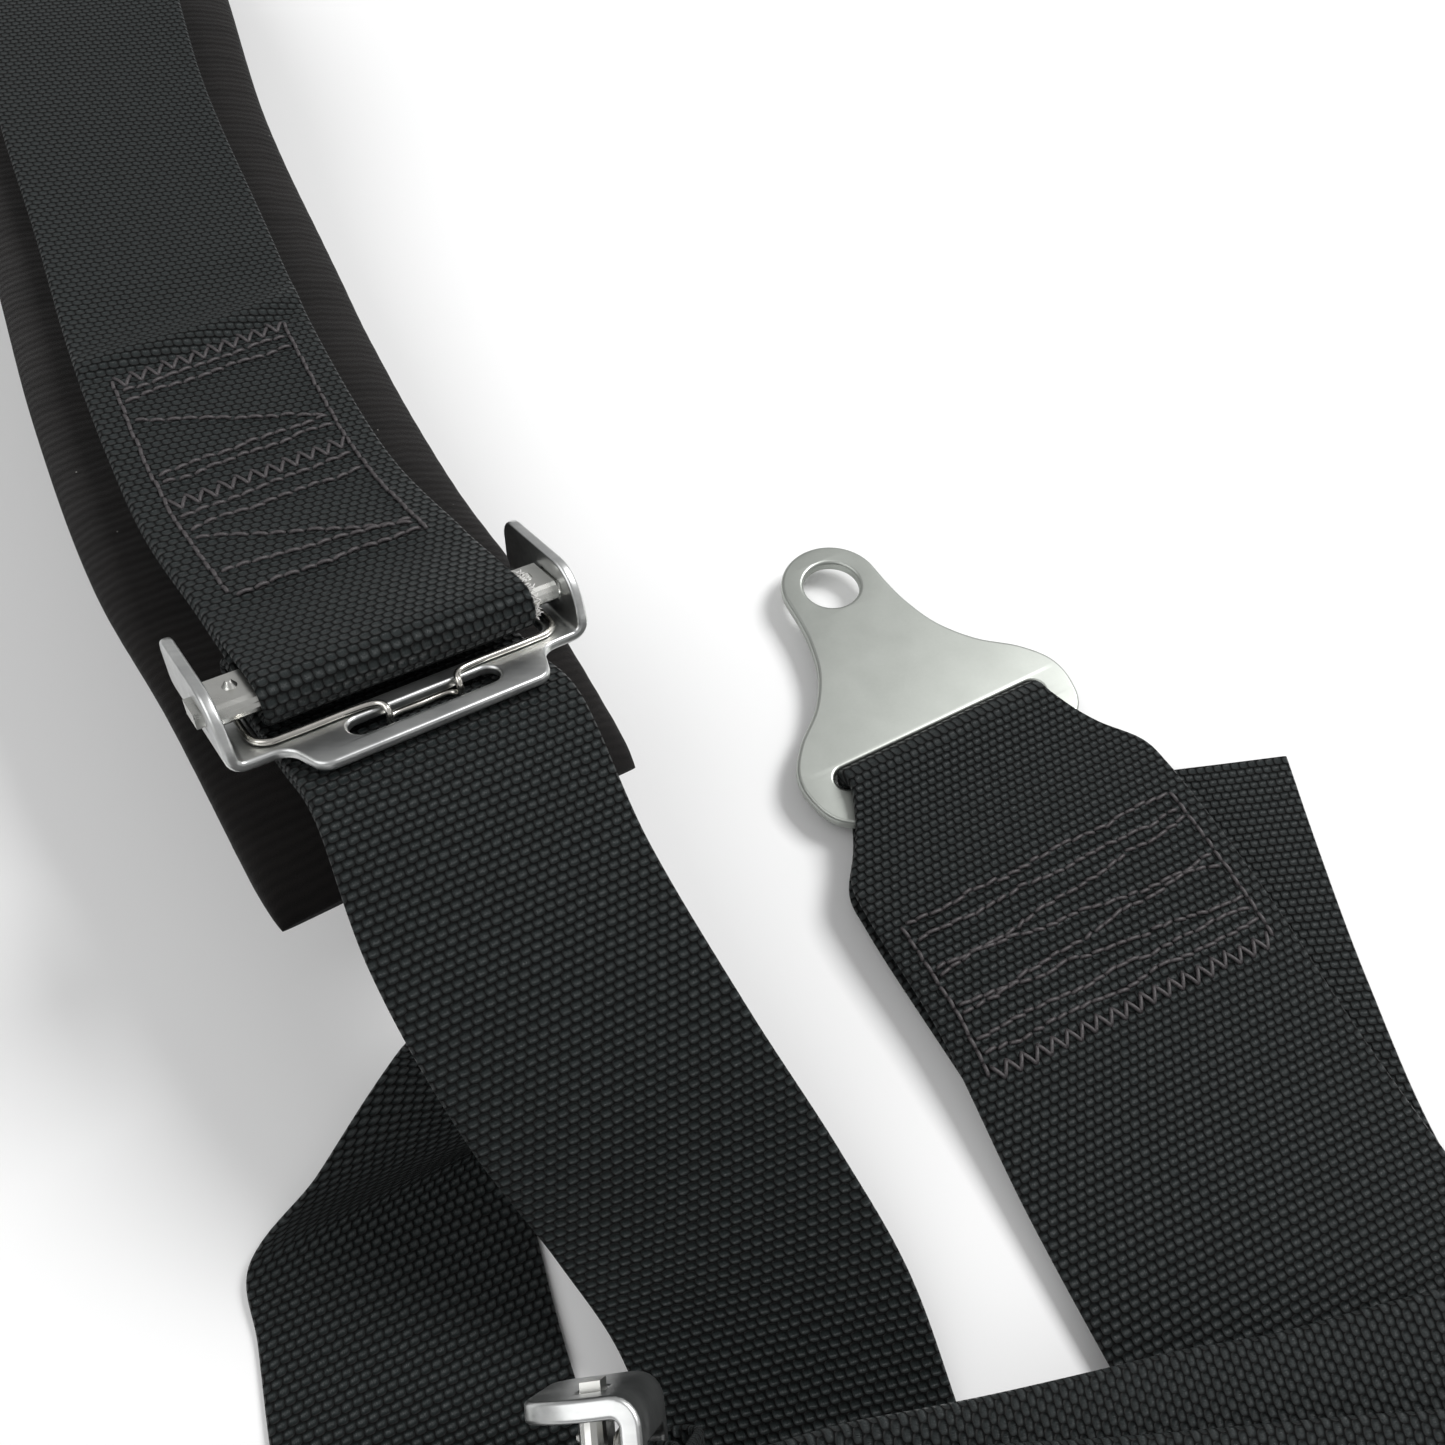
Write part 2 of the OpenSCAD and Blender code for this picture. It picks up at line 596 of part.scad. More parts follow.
translate(far_shoulder) shoulder_adjuster_spring();  // left_shoulder_adjuster_spring
translate(far_shoulder) shoulder_lower_strap();  // left_shoulder_lower_strap
translate(far_shoulder) shoulder_tongue();  // left_shoulder_tongue
translate(far_shoulder) end_loop(shoulder_tongue_pose, shoulder_w);  // left_shoulder_tongue_loop
right_lap_anchor();
end_loop(lap_anchor_pose, lap_w);  // right_lap_anchor_loop
right_lap_strap();
color([0.78, 0.79, 0.8]) place(right_lap_adjuster_pose) adjuster_frame(lap_w, lap_sheet, lap_flange);  // right_lap_adjuster_frame
color([0.7, 0.72, 0.74]) place(right_lap_adjuster_pose) adjuster_bar(lap_w, lap_sheet);  // right_lap_adjuster_bar
color([0.8, 0.78, 0.74]) place(right_lap_adjuster_pose) adjuster_spring(lap_w, lap_sheet);  // right_lap_adjuster_spring
right_lap_inner_strap();
right_lap_tongue();
end_loop(right_lap_tongue_pose, lap_w);  // right_lap_tongue_loop
left_lap_anchor();
end_loop(left_lap_anchor_pose, lap_w);  // left_lap_anchor_loop
left_lap_strap();
color([0.78, 0.79, 0.8]) place(left_lap_adjuster_pose) adjuster_frame(lap_w, lap_sheet, lap_flange);  // left_lap_adjuster_frame
color([0.7, 0.72, 0.74]) place(left_lap_adjuster_pose) adjuster_bar(lap_w, lap_sheet);  // left_lap_adjuster_bar
color([0.8, 0.78, 0.74]) place(left_lap_adjuster_pose) adjuster_spring(lap_w, lap_sheet);  // left_lap_adjuster_spring
left_lap_inner_strap();
latch_base();
latch_lever();
latch_pin();
latch_spring();
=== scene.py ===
"""The looks of a racing harness: belts, shoulder pads, slide adjusters, plates and latch.

Lengths are in millimetres until a mesh is made. Sizes and poses repeat those of the CAD source.
The belts' routes start from its routes and are shifted a few millimetres to match the photo.
A station is (x, y, z, across x, across y, across z, width): a point on a belt's middle line.
"""

import math
import random

import bmesh
import bpy
import numpy as np
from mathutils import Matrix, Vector, noise


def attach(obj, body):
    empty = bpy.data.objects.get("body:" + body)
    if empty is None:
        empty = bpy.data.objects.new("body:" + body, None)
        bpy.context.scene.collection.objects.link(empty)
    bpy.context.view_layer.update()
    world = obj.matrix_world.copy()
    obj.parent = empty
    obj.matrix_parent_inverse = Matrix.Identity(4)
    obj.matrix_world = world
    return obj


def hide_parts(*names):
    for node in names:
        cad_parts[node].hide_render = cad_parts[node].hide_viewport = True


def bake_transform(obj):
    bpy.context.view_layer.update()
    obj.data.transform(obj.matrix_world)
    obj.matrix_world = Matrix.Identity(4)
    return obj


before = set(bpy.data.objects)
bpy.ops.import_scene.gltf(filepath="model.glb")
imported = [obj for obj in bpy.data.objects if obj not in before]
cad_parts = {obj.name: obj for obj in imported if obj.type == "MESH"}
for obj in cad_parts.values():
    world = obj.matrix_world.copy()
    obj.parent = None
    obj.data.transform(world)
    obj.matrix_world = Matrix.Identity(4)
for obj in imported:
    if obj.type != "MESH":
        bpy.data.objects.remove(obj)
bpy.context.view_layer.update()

MM = 0.001
ROOT = "webbing"

# ------------------------------------------------------------------ sizes, as in the CAD source
SHOULDER_W, LAP_W, WEB_T = 50.0, 76.0, 1.6
LAYER = WEB_T + 0.3                     # from one layer of webbing to the next
PAD_W, PAD_T = 75.0, 10.0
PLATE_T = 3.0                           # anchor plates, tongues and latch base
PLATE_TOP = -5.0                        # an adjuster's base, below the middle of its bar
WIRE_R = 0.6
TOP_Z, UNDER_Z = PLATE_T + 0.4 + WEB_T / 2, -0.4 - WEB_T / 2   # webbing above and below a plate
LOOP_END, LOOP_EDGE = -70.0, -50.4      # where a loop is sewn, and the edge that it turns round
LOOP_MID = PLATE_T / 2
LOOP_R = TOP_Z - LOOP_MID
WIDE_Y, NARROW_Y = -62, -56             # where webbing is drawn in towards a plate's slot
WIDE_W, BUNCHED_W = 74.0, 51.0          # its width before that, and in the slot
NARROW_SHARE = 0.2                      # how much of the difference is left at NARROW_Y
FLOOR_Z = -4.0
FLOOR_GAP = 0.05
FAR_SHOULDER = np.array([-235.0, 0, 0])
SHOULDER_SHEET, LAP_SHEET, FLANGE_GAP = 2.0, 3.0, 8.5
SHOULDER_FLANGE, LAP_FLANGE = 6, 9.5    # height of an adjuster's flanges above its bar

SHOULDER_ANCHOR = ((-316, 434, -2), (0, 0, 25))
SHOULDER_ADJUSTER = ((-83.5, -60, 61), (14, -10.5, 215))
SHOULDER_TONGUE = ((28, -337, -2), (0, 0, 194))
LAP_ANCHOR = ((0, 0, 0), (0, 0, 28))
RIGHT_LAP_ADJUSTER = ((137, -287, 9.6), (0, 0, 25.5))
RIGHT_LAP_TONGUE = ((190, -399, -2), (0, 0, 205.5))
LEFT_LAP_ANCHOR = ((275, -190, -2), (0, 0, -83))
LEFT_LAP_ADJUSTER = ((-38.5, -217.5, 24), (96.5, 11.5, -82.5))
LATCH = ((-170, -219, -2), (0, 0, 90))

# Routes: x, y, z of a belt's middle, then the direction across it as a turn in plan and a tilt
UPPER_STRAP_ROUTE = [
    (-272, 337, 8, 24, 0), (-254, 294, 25, 22, 0), (-234, 244, 43, 20, -2),
    (-218, 204, 54, 20, -4), (-205, 172, 58, 20, -4), (-185, 120, 55, 23, -8),
    (-161, 70, 52, 26, -10), (-137, 21, 53, 29, -11), (-114, -19, 55, 32, -11),
]
PAD_ROUTE = [
    (-246, 274, 23, 21, -2), (-234, 244, 34, 20, -2), (-218, 204, 45, 20, -4),
    (-205, 172, 49, 20, -4), (-185, 120, 46, 23, -8), (-161, 70, 43, 26, -10),
    (-137, 21, 43, 28, -11), (-114, -20, 42.5, 31, -11), (-94, -48, 39.5, 32, -12),
    (-71, -84, 33, 37, -14),
]
LOWER_STRAP_ROUTE = [
    (-60, -103, 47, 31, -6), (-44, -127, 32, 26, 2), (-29.5, -144, 16, 20, 5),
    (-18.5, -159, 5, 15, 4), (-11, -178, -2, 13, 0), (-2, -210, -3, 14, 0), (5, -246, -2, 14, 0),
]
TAIL_ROUTE = [
    (-59.8, -104, 41.5, 22, -5), (-54, -116, 26, 0, 5), (-61, -119, 13, -8, 8),
    (-75, -130, 4, 14, 5), (-87, -139, -1.5, 27, 0), (-83, -152, -3, 25, 0),
    (-76.5, -171, -3, 24, 0), (-68.5, -190, -3, 22, 0), (-58.5, -215, -3, 18, 0),
    (-52, -235, -3, 15, 0),
]
RIGHT_LAP_ROUTE = [
    (49.3, -93, 2.6, 26, -1), (63.5, -127.5, 0, 24, 0), (79.5, -163, -0.8, 24, 0),
    (95, -196.5, -0.8, 25, 0), (110, -230, -0.9, 25, 0),
]
RIGHT_LAP_TAIL_ROUTE = [
    (62, -50, -3, 8, 0), (63, -72, -3, 7, 0), (65, -100, -3, 5, 0), (70, -135, -3, 7, 0),
    (82, -167, -3, 16, 0), (96.5, -199, -3, 24, 0), (111.5, -232, -3, 25, 0),
]
LEFT_LAP_ROUTE = [
    (-29.5, -221, 50.5, -83, -12), (-24, -220.3, 55.5, -83, -12), (-15, -219.3, 54, -84, -12),
    (0, -218, 43.5, -85, -12), (14, -216.7, 32.5, -86, -11), (33, -215.4, 20.8, -86, -9),
    (53, -213.8, 13, -86, -6.5), (73, -212.1, 8.8, -86, -4.5), (91, -210.9, 6.7, -86, -3),
    (150, -206, 4.5, -85, 0), (190, -201, 3, -84, 0),
]
LEFT_LAP_TAIL_ROUTE = [
    (-27, -219.8, 48.5, -82, -12), (-23.5, -219, 51.7, -82, -13), (-16.5, -217.4, 50.6, -82, -14),
    (-4, -213.8, 42, -80, -16), (8, -211.4, 33.3, -80, -16), (19, -209.3, 25.3, -80, -14.5),
    (39, -205.2, 14.5, -79, -11.5), (53, -202.3, 9, -79, -8.5), (73, -199, 5.2, -78, -5),
    (88, -195.5, 3.6, -78, -3), (103, -192, 2.6, -78, -2),
]
LATCH_STRAP_ROUTE = [
    (-44, -216.6, 10, -84, -10), (-49, -217, 5.4, -86, -8), (-58, -217.6, 4, -88, -5.5),
    (-71, -218.3, 3, -89, -3), (-86, -219, 2.3, -90, -1),
]
# Webbing sewn round an adjuster's bar, in the adjuster's own y and z
SEWN = [
    (-24, 1.7), (-17, 1.0), (-12, 0.6), (-9.4, -0.4), (-7.2, -2.2), (-4.6, -3.6), (-1, -3.7),
    (3.2, -3.7), (5.4, -2.8), (6.3, -1), (6.3, 1), (5.4, 2.8), (3.2, 3.7), (-4, 3.7),
    (-12, 3.6), (-20, 3.7),
]


# ------------------------------------------------------------------ placing and belts
def rotation(turns):
    """The matrix that turns by degrees about x, then y, then z."""
    a, b, c = (math.radians(t) for t in turns)
    rx = np.array([[1, 0, 0], [0, math.cos(a), -math.sin(a)], [0, math.sin(a), math.cos(a)]])
    ry = np.array([[math.cos(b), 0, math.sin(b)], [0, 1, 0], [-math.sin(b), 0, math.cos(b)]])
    rz = np.array([[math.cos(c), -math.sin(c), 0], [math.sin(c), math.cos(c), 0], [0, 0, 1]])
    return rz @ ry @ rx


def placed(points, pose):
    """Points of a fitting's own frame in the shared frame; a pose is (place, turns)."""
    return np.asarray(points, float) @ rotation(pose[1]).T + np.array(pose[0], float)


def route(rows, width):
    """Stations from a route's rows."""
    out = []
    for x, y, z, turn, tilt in rows:
        t, r = math.radians(turn), math.radians(tilt)
        level = math.cos(r)
        out.append([x, y, z, math.cos(t) * level, math.sin(t) * level, math.sin(r), width])
    return out


def profile(points, pose, width, side=1):
    """Stations from a fitting's own y, z and, where it differs from width, the width there."""
    across = rotation(pose[1]) @ np.array([side, 0, 0.0])
    return [
        [*placed([0, q[0], q[1]], pose), *across, q[2] if len(q) > 2 else width] for q in points
    ]


def slot_turn(width, degrees):
    """Webbing round the edge of a plate's slot."""
    return [(LOOP_EDGE + LOOP_R * math.cos(math.radians(u)),
             LOOP_MID + LOOP_R * math.sin(math.radians(u)), width) for u in degrees]


def loop_stations(pose, width, flap, rise, side=1):
    """Webbing from its sewn-back end below the strap, round a plate's edge and out on top."""
    wide, bunched = min(width, WIDE_W), min(width, BUNCHED_W)
    halfway, narrow = [bunched + (wide - bunched) * u for u in (0.5, NARROW_SHARE)]
    start = LOOP_END - 0.3
    low = LOOP_MID - LOOP_R
    points = [(start - flap, UNDER_Z + rise, width), (start - 8, UNDER_Z + 0.2 * rise, width),
              (LOOP_END, UNDER_Z, wide), (WIDE_Y, low, halfway), (NARROW_Y, low, narrow),
              *slot_turn(bunched, np.arange(-90, 90.1, 22.5)),
              (NARROW_Y, TOP_Z, narrow), (WIDE_Y, TOP_Z, halfway), (LOOP_END, TOP_Z, wide),
              (LOOP_END - 8, TOP_Z, width)]
    return profile(points, pose, width, side)


def layer_below(belt, stations, gap):
    """Stations of a second layer sewn below a belt."""
    return [[*belt.at(0, belt.nearest(s[:3]), -LAYER - gap), *s[3:7]] for s in stations]


def running_points(sheet):
    """Webbing that goes under an adjuster's lip, round its rear member and back out below."""
    upper = PLATE_TOP - sheet - 2 * WIRE_R - 0.7 - WEB_T / 2
    lower = upper - LAYER - 0.1
    over = PLATE_TOP + 1 + WEB_T / 2
    member_y = -14
    r, mid = (over - lower) / 2, (over + lower) / 2
    turn = [
        (member_y + r * math.cos(math.radians(u)), mid + r * math.sin(math.radians(u)))
        for u in range(90, 271, 30)
    ]
    return [(20, upper), (8, upper), (-2.5, upper), (-5.4, upper + 1.2), (-7.6, PLATE_TOP - 0.9),
            (-9.4, PLATE_TOP + 1.1), (-11.5, over), *turn, (-5, lower), (8, lower), (20, lower)]


def spline(control, step):
    """Centripetal spline through the stations, with points about step apart."""
    c = np.array(control, float)
    e = np.vstack([2 * c[0] - c[1], c, 2 * c[-1] - c[-2]])
    out = []
    for i in range(1, len(e) - 2):
        t = [0.0]
        for j in range(i - 1, i + 2):
            t.append(t[-1] + max(np.linalg.norm(e[j + 1, :3] - e[j, :3]), 0.01) ** 0.5)
        n = max(1, math.ceil(np.linalg.norm(e[i + 1, :3] - e[i, :3]) / step))
        for k in range(n):
            u = t[1] + (t[2] - t[1]) * k / n
            # Barry and Goldman's pyramid: lines between stations, then blends of them
            p = [e[i - 1 + j] + (e[i + j] - e[i - 1 + j]) * (u - t[j]) / (t[j + 1] - t[j])
                 for j in range(3)]
            f = p[0] + (p[1] - p[0]) * u / t[2]
            g = p[1] + (p[2] - p[1]) * (u - t[1]) / (t[3] - t[1])
            out.append(f + (g - f) * (u - t[1]) / (t[2] - t[1]))
    out.append(e[-2])
    return np.array(out)


def unit(v):
    return v / np.linalg.norm(v, axis=-1, keepdims=True)


class Belt:
    """A belt's middle surface: where a point across and along it lies, in mm."""

    def __init__(self, control, step=1.4, offset=(0, 0, 0)):
        s = spline(control, step)
        self.mid = s[:, :3] + np.array(offset)
        self.across = unit(s[:, 3:6])
        self.width = s[:, 6]
        self.normal = unit(np.cross(unit(np.gradient(self.mid, axis=0)), self.across))
        gaps = np.linalg.norm(np.diff(self.mid, axis=0), axis=1)
        self.along = np.concatenate([[0], np.cumsum(gaps)])
        self.length = float(self.along[-1])
        self.full = float(self.width.max())

    def at(self, u, v, h=0.0):
        """The point u across from the middle line, v along and h off the surface."""
        def pick(a):
            return np.array([np.interp(v, self.along, a[:, k]) for k in range(3)])
        squeeze = np.interp(v, self.along, self.width) / self.full
        return pick(self.mid) + pick(self.across) * u * squeeze + unit(pick(self.normal)) * h

    def nearest(self, point):
        """How far along the belt a point in space is."""
        return float(self.along[np.argmin(np.linalg.norm(self.mid - np.array(point), axis=1))])


def make_object(name, verts, faces, material, uv=None):
    """A smooth-shaded object from vertices in mm, with cloth coordinates if it is cloth."""
    mesh = bpy.data.meshes.new(name)
    points = [tuple(v) for v in np.asarray(verts) * MM]
    mesh.from_pydata(points, [], [tuple(map(int, f)) for f in faces])
    mesh.update()
    mesh.shade_smooth()
    if uv is not None:
        layer = mesh.uv_layers.new(name="cloth")
        index = np.zeros(len(mesh.loops), dtype=np.int32)
        mesh.loops.foreach_get("vertex_index", index)
        layer.data.foreach_set("uv", (np.asarray(uv) * MM)[index].ravel())
    mesh.materials.append(material)
    obj = bpy.data.objects.new(name, mesh)
    bpy.context.scene.collection.objects.link(obj)
    return obj


SELVAGE = 0.9                           # how far in from its edge webbing thins
UNEVEN = 0.22                           # how far it waves out of its surface
FOLD_T = 1.9                            # what an edge turned under adds to its thickness
FOLD_BEFORE, FOLD_AFTER = 7.0, 9.0      # how far along the belt that fades
SHOULDER_COLUMNS, LAP_COLUMNS = 40, 56


def woven(name, belt, material, relief=None, columns=SHOULDER_COLUMNS, folds=()):
    """A belt's closed mesh: a rounded strip with its weave's coordinates across and along.

    Where it is drawn in at a slot its edges are turned under, so it is thicker there: folds are
    the places along it where that happens.
    """
    half = belt.full / 2
    flat = np.linspace(-half + SELVAGE, half - SELVAGE, columns)
    turn = np.radians([30, 60, 90])
    left = [(-half + SELVAGE - SELVAGE * math.sin(a), math.cos(a)) for a in turn]
    right = [(half - SELVAGE + SELVAGE * math.sin(a), math.cos(a)) for a in turn]
    top = left[::-1] + [(x, 1.0) for x in flat] + right
    section = top + [(x, -h) for x, h in top[-2:0:-1]]
    u = np.array([p[0] for p in section])
    h = np.array([p[1] for p in section]) * WEB_T / 2
    rows = len(belt.mid)
    squeeze = (belt.width / belt.full)[:, None]
    lift = np.zeros((rows, len(u)))
    for i in range(rows):
        v = belt.along[i]
        lift[i] = [UNEVEN * noise.noise(Vector((a * 0.035, v * 0.022, half))) for a in u]
        if relief:
            lift[i] += relief(u, v)
        for place in folds:
            d = (v - place) / (FOLD_AFTER if v > place else FOLD_BEFORE)
            lift[i] += np.where(h > 0, FOLD_T * math.exp(-(max(abs(d) - 0.35, 0) ** 2)), 0)
    verts = (belt.mid[:, None, :] + belt.across[:, None, :] * (u * squeeze)[:, :, None]
             + belt.normal[:, None, :] * (h + lift)[:, :, None])
    verts[..., 2] = np.maximum(verts[..., 2], FLOOR_Z + FLOOR_GAP)
    n = len(u)
    i, j = np.meshgrid(np.arange(rows - 1), np.arange(n), indexing="ij")
    a, b = i * n + j, i * n + (j + 1) % n
    faces = np.stack([a, b, b + n, a + n], axis=-1).reshape(-1, 4).tolist()
    faces += [list(range(n))[::-1], [(rows - 1) * n + k for k in range(n)]]
    uv = np.stack([u * squeeze, np.broadcast_to(belt.along[:, None], (rows, n))], axis=-1)
    return make_object(name, verts.reshape(-1, 3), faces, material, uv=uv.reshape(-1, 2))


# ------------------------------------------------------------------ materials
ABOVE_ZERO = 100.0                      # added before a fraction is taken, in blocks
WEAVE_DEPTH, KNIT_DEPTH, THREAD_DEPTH = 0.0009, 0.0003, 0.0001
RIB_PITCH = 0.0021


class Nodes:
    """Short names for building a material's nodes. Distances in a material are in metres."""

    def __init__(self, name):
        self.material = bpy.data.materials.new(name)
        self.material.use_nodes = True
        self.tree = self.material.node_tree
        self.shader = self.tree.nodes["Principled BSDF"]

    def add(self, kind, **inputs):
        node = self.tree.nodes.new(kind)
        for key, value in inputs.items():
            self.set(node.inputs[key.replace("_", " ")], value)
        return node

    def set(self, socket, value):
        if isinstance(value, bpy.types.NodeSocket):
            self.tree.links.new(value, socket)
        else:
            socket.default_value = value

    def math(self, operation, *values):
        node = self.tree.nodes.new("ShaderNodeMath")
        node.operation = operation
        for socket, value in zip(node.inputs, values):
            self.set(socket, value)
        return node.outputs[0]

    def noise(self, vector, scale, detail=3.0, roughness=0.5):
        return self.add("ShaderNodeTexNoise", Vector=vector, Scale=scale, Detail=detail,
                        Roughness=roughness).outputs["Fac"]

    def stretch(self, vector, x, y, z):
        node = self.add("ShaderNodeMapping", Vector=vector)
        node.inputs["Scale"].default_value = (x, y, z)
        return node.outputs[0]

    def ramp(self, factor, *stops):
        node = self.add("ShaderNodeValToRGB", Fac=factor)
        ramp = node.color_ramp
        while len(ramp.elements) < len(stops):
            ramp.elements.new(0.5)
        for element, (position, colour) in zip(ramp.elements, stops):
            element.position = position
            element.color = (*colour, 1)
        return node.outputs[0]

    def grey(self, factor, low, high):
        """factor from 0 to 1 mapped to low to high."""
        node = self.add("ShaderNodeMapRange", Value=factor)
        node.inputs["To Min"].default_value = low
        node.inputs["To Max"].default_value = high
        return node.outputs[0]

    def bump(self, height, distance, strength=1.0, normal=None):
        node = self.add("ShaderNodeBump", Height=height, Strength=strength, Distance=distance)
        if normal is not None:
            self.set(node.inputs["Normal"], normal)
        return node.outputs[0]

    def finish(self, **inputs):
        for key, value in inputs.items():
            self.set(self.shader.inputs[key.replace("_", " ")], value)
        return self.material


def webbing_material(name, yarn, gap, across, along):
    """Block-weave webbing: floats of yarn in rows, each row shifted by half a block.

    yarn is the yarn's colour, and gap is painted shade in the hollows between blocks; across and
    along are one block's size in mm.
    """
    n = Nodes(name)
    coords = n.add("ShaderNodeUVMap")
    coords.uv_map = "cloth"
    xyz = n.add("ShaderNodeSeparateXYZ", Vector=coords.outputs[0])
    warp = n.noise(coords.outputs[0], 260.0, 2.0)
    shift = n.math("MULTIPLY", n.math("SUBTRACT", warp, 0.5), 0.35)
    row = n.math("ADD", n.math("DIVIDE", xyz.outputs[1], along * MM), shift)
    index = n.math("FLOOR", row)
    fy = n.math("SUBTRACT", n.math("FRACT", row), 0.5)
    odd = n.math("MULTIPLY", n.math("MODULO", index, 2.0), 0.5)
    column = n.math("ADD", n.math("DIVIDE", xyz.outputs[0], across * MM), odd)
    fx = n.math("SUBTRACT", n.math("FRACT", n.math("ADD", column, ABOVE_ZERO)), 0.5)
    ex = n.math("POWER", n.math("ABSOLUTE", n.math("MULTIPLY", fx, 2.0)), 3.0)
    ey = n.math("POWER", n.math("ABSOLUTE", n.math("MULTIPLY", fy, 2.0)), 2.6)
    block = n.math("MAXIMUM", n.math("SUBTRACT", 1.0, n.math("ADD", ex, ey)), 0.0)
    fibre = n.noise(n.stretch(coords.outputs[0], 9000, 1500, 1), 1.0, 2.0)
    height = n.math("ADD", n.math("POWER", block, 0.6), n.math("MULTIPLY", fibre, 0.16))
    tone = n.noise(n.stretch(coords.outputs[0], 500, 90, 1), 1.0, 3.0)
    # Painted shade: the colour falls from yarn to gap towards each block's edges and into the
    # hollows between blocks.
    mix = n.math("MULTIPLY", n.math("POWER", block, 0.7), n.grey(tone, 0.7, 1.3))
    mix = n.math("MULTIPLY", mix, n.grey(fibre, 0.65, 1.35))
    colour = n.ramp(mix, (0.0, gap), (1.0, yarn))
    n.shader.inputs["Sheen Weight"].default_value = 0.03
    n.shader.inputs["Sheen Roughness"].default_value = 0.4
    n.shader.inputs["Specular IOR Level"].default_value = 0.22
    gloss = n.math("MULTIPLY", n.math("POWER", block, 0.5), 0.72)
    rough = n.math("SUBTRACT", n.grey(fibre, 0.98, 1.12), gloss)
    return n.finish(Base_Color=colour, Roughness=rough, Normal=n.bump(height, WEAVE_DEPTH, 1.0))


def knit_material():
    """Brushed knit: fine ribs across the pad, short nap, pale lint specks."""
    n = Nodes("pad_knit")
    coords = n.add("ShaderNodeUVMap")
    coords.uv_map = "cloth"
    c = coords.outputs[0]
    xyz = n.add("ShaderNodeSeparateXYZ", Vector=c)
    wobble = n.math("MULTIPLY", n.noise(n.stretch(c, 180, 60, 1), 1.0, 3.0), 2.6)
    turns = n.math("MULTIPLY", xyz.outputs[1], 2 * math.pi / RIB_PITCH)
    rib = n.math("SINE", n.math("ADD", turns, n.math("MULTIPLY", wobble, 2.4)))
    nap = n.noise(c, 4200.0, 3.0, 0.7)
    height = n.math("ADD", n.math("MULTIPLY", rib, 0.22), n.math("MULTIPLY", nap, 0.9))
    cloud = n.noise(c, 70.0, 4.0)
    shade = n.math("ADD", n.math("MULTIPLY", nap, 0.5), n.math("MULTIPLY", cloud, 0.5))
    # Painted shade: the rib term darkens the troughs between ribs, following their height.
    tone = n.ramp(n.math("ADD", shade, n.math("MULTIPLY", rib, 0.09)),
                  (0.25, (0.0022, 0.0019, 0.0018)), (0.75, (0.0105, 0.0088, 0.0082)))
    cells = n.add("ShaderNodeTexVoronoi", Vector=c, Scale=150.0, Randomness=1.0)
    speck = n.math("LESS_THAN", cells.outputs["Distance"], 0.022)
    colour = n.add("ShaderNodeMix")
    colour.data_type = "RGBA"
    n.set(colour.inputs[0], speck)
    n.set(colour.inputs[6], tone)
    n.set(colour.inputs[7], (0.35, 0.34, 0.33, 1))
    n.shader.inputs["Sheen Weight"].default_value = 0.1
    n.shader.inputs["Sheen Roughness"].default_value = 0.5
    n.shader.inputs["Specular IOR Level"].default_value = 0.15
    return n.finish(Base_Color=colour.outputs[2], Roughness=n.grey(nap, 0.8, 0.98),
                    Normal=n.bump(height, KNIT_DEPTH, 0.8))


def metal_material(name, dark, light, rough, grain=(60, 900, 900), dents=0.000012):
    """Plated steel: fine grain, cloudy plating, a few scratches.

    dark and light are colours, rough is a range, and dents is how deep the bumps are.
    """
    n = Nodes(name)
    c = n.add("ShaderNodeTexCoord").outputs["Object"]
    lines = n.noise(n.stretch(c, *grain), 1.0, 3.0)
    cloud = n.noise(c, 120.0, 4.0)
    scratch = n.noise(n.stretch(c, 60, 1400, 300), 1.0, 2.0)
    worn = n.math("GREATER_THAN", scratch, 0.72)
    mix = n.math("ADD", n.math("MULTIPLY", lines, 0.35), n.math("MULTIPLY", cloud, 0.65))
    colour = n.ramp(mix, (0.3, dark), (0.7, light))
    roughness = n.math("ADD", n.grey(cloud, rough[0], rough[1]), n.math("MULTIPLY", worn, 0.04))
    height = n.math("ADD", n.math("MULTIPLY", lines, 0.3), n.math("MULTIPLY", cloud, 0.5))
    return n.finish(Base_Color=colour, Metallic=1.0, Roughness=roughness,
                    Normal=n.bump(height, dents, 0.6))


def thread_material():
    """Twisted sewing thread, a little paler than the webbing."""
    n = Nodes("thread")
    c = n.add("ShaderNodeTexCoord").outputs["Object"]
    twist = n.noise(c, 3500.0, 2.0)
    colour = n.ramp(twist, (0.3, (0.024, 0.021, 0.0225)), (0.7, (0.072, 0.064, 0.067)))
    return n.finish(Base_Color=colour, Roughness=n.grey(twist, 0.4, 0.65),
                    Normal=n.bump(twist, THREAD_DEPTH, 0.5))


def fray_material():
    """White core yarn where an edge is worn."""
    n = Nodes("frayed_yarn")
    c = n.add("ShaderNodeTexCoord").outputs["Object"]
    tuft = n.noise(c, 1800.0, 2.0)
    return n.finish(Base_Color=n.ramp(tuft, (0.3, (0.45, 0.44, 0.42)), (0.7, (0.85, 0.84, 0.82))),
                    Roughness=n.grey(tuft, 0.6, 0.8))
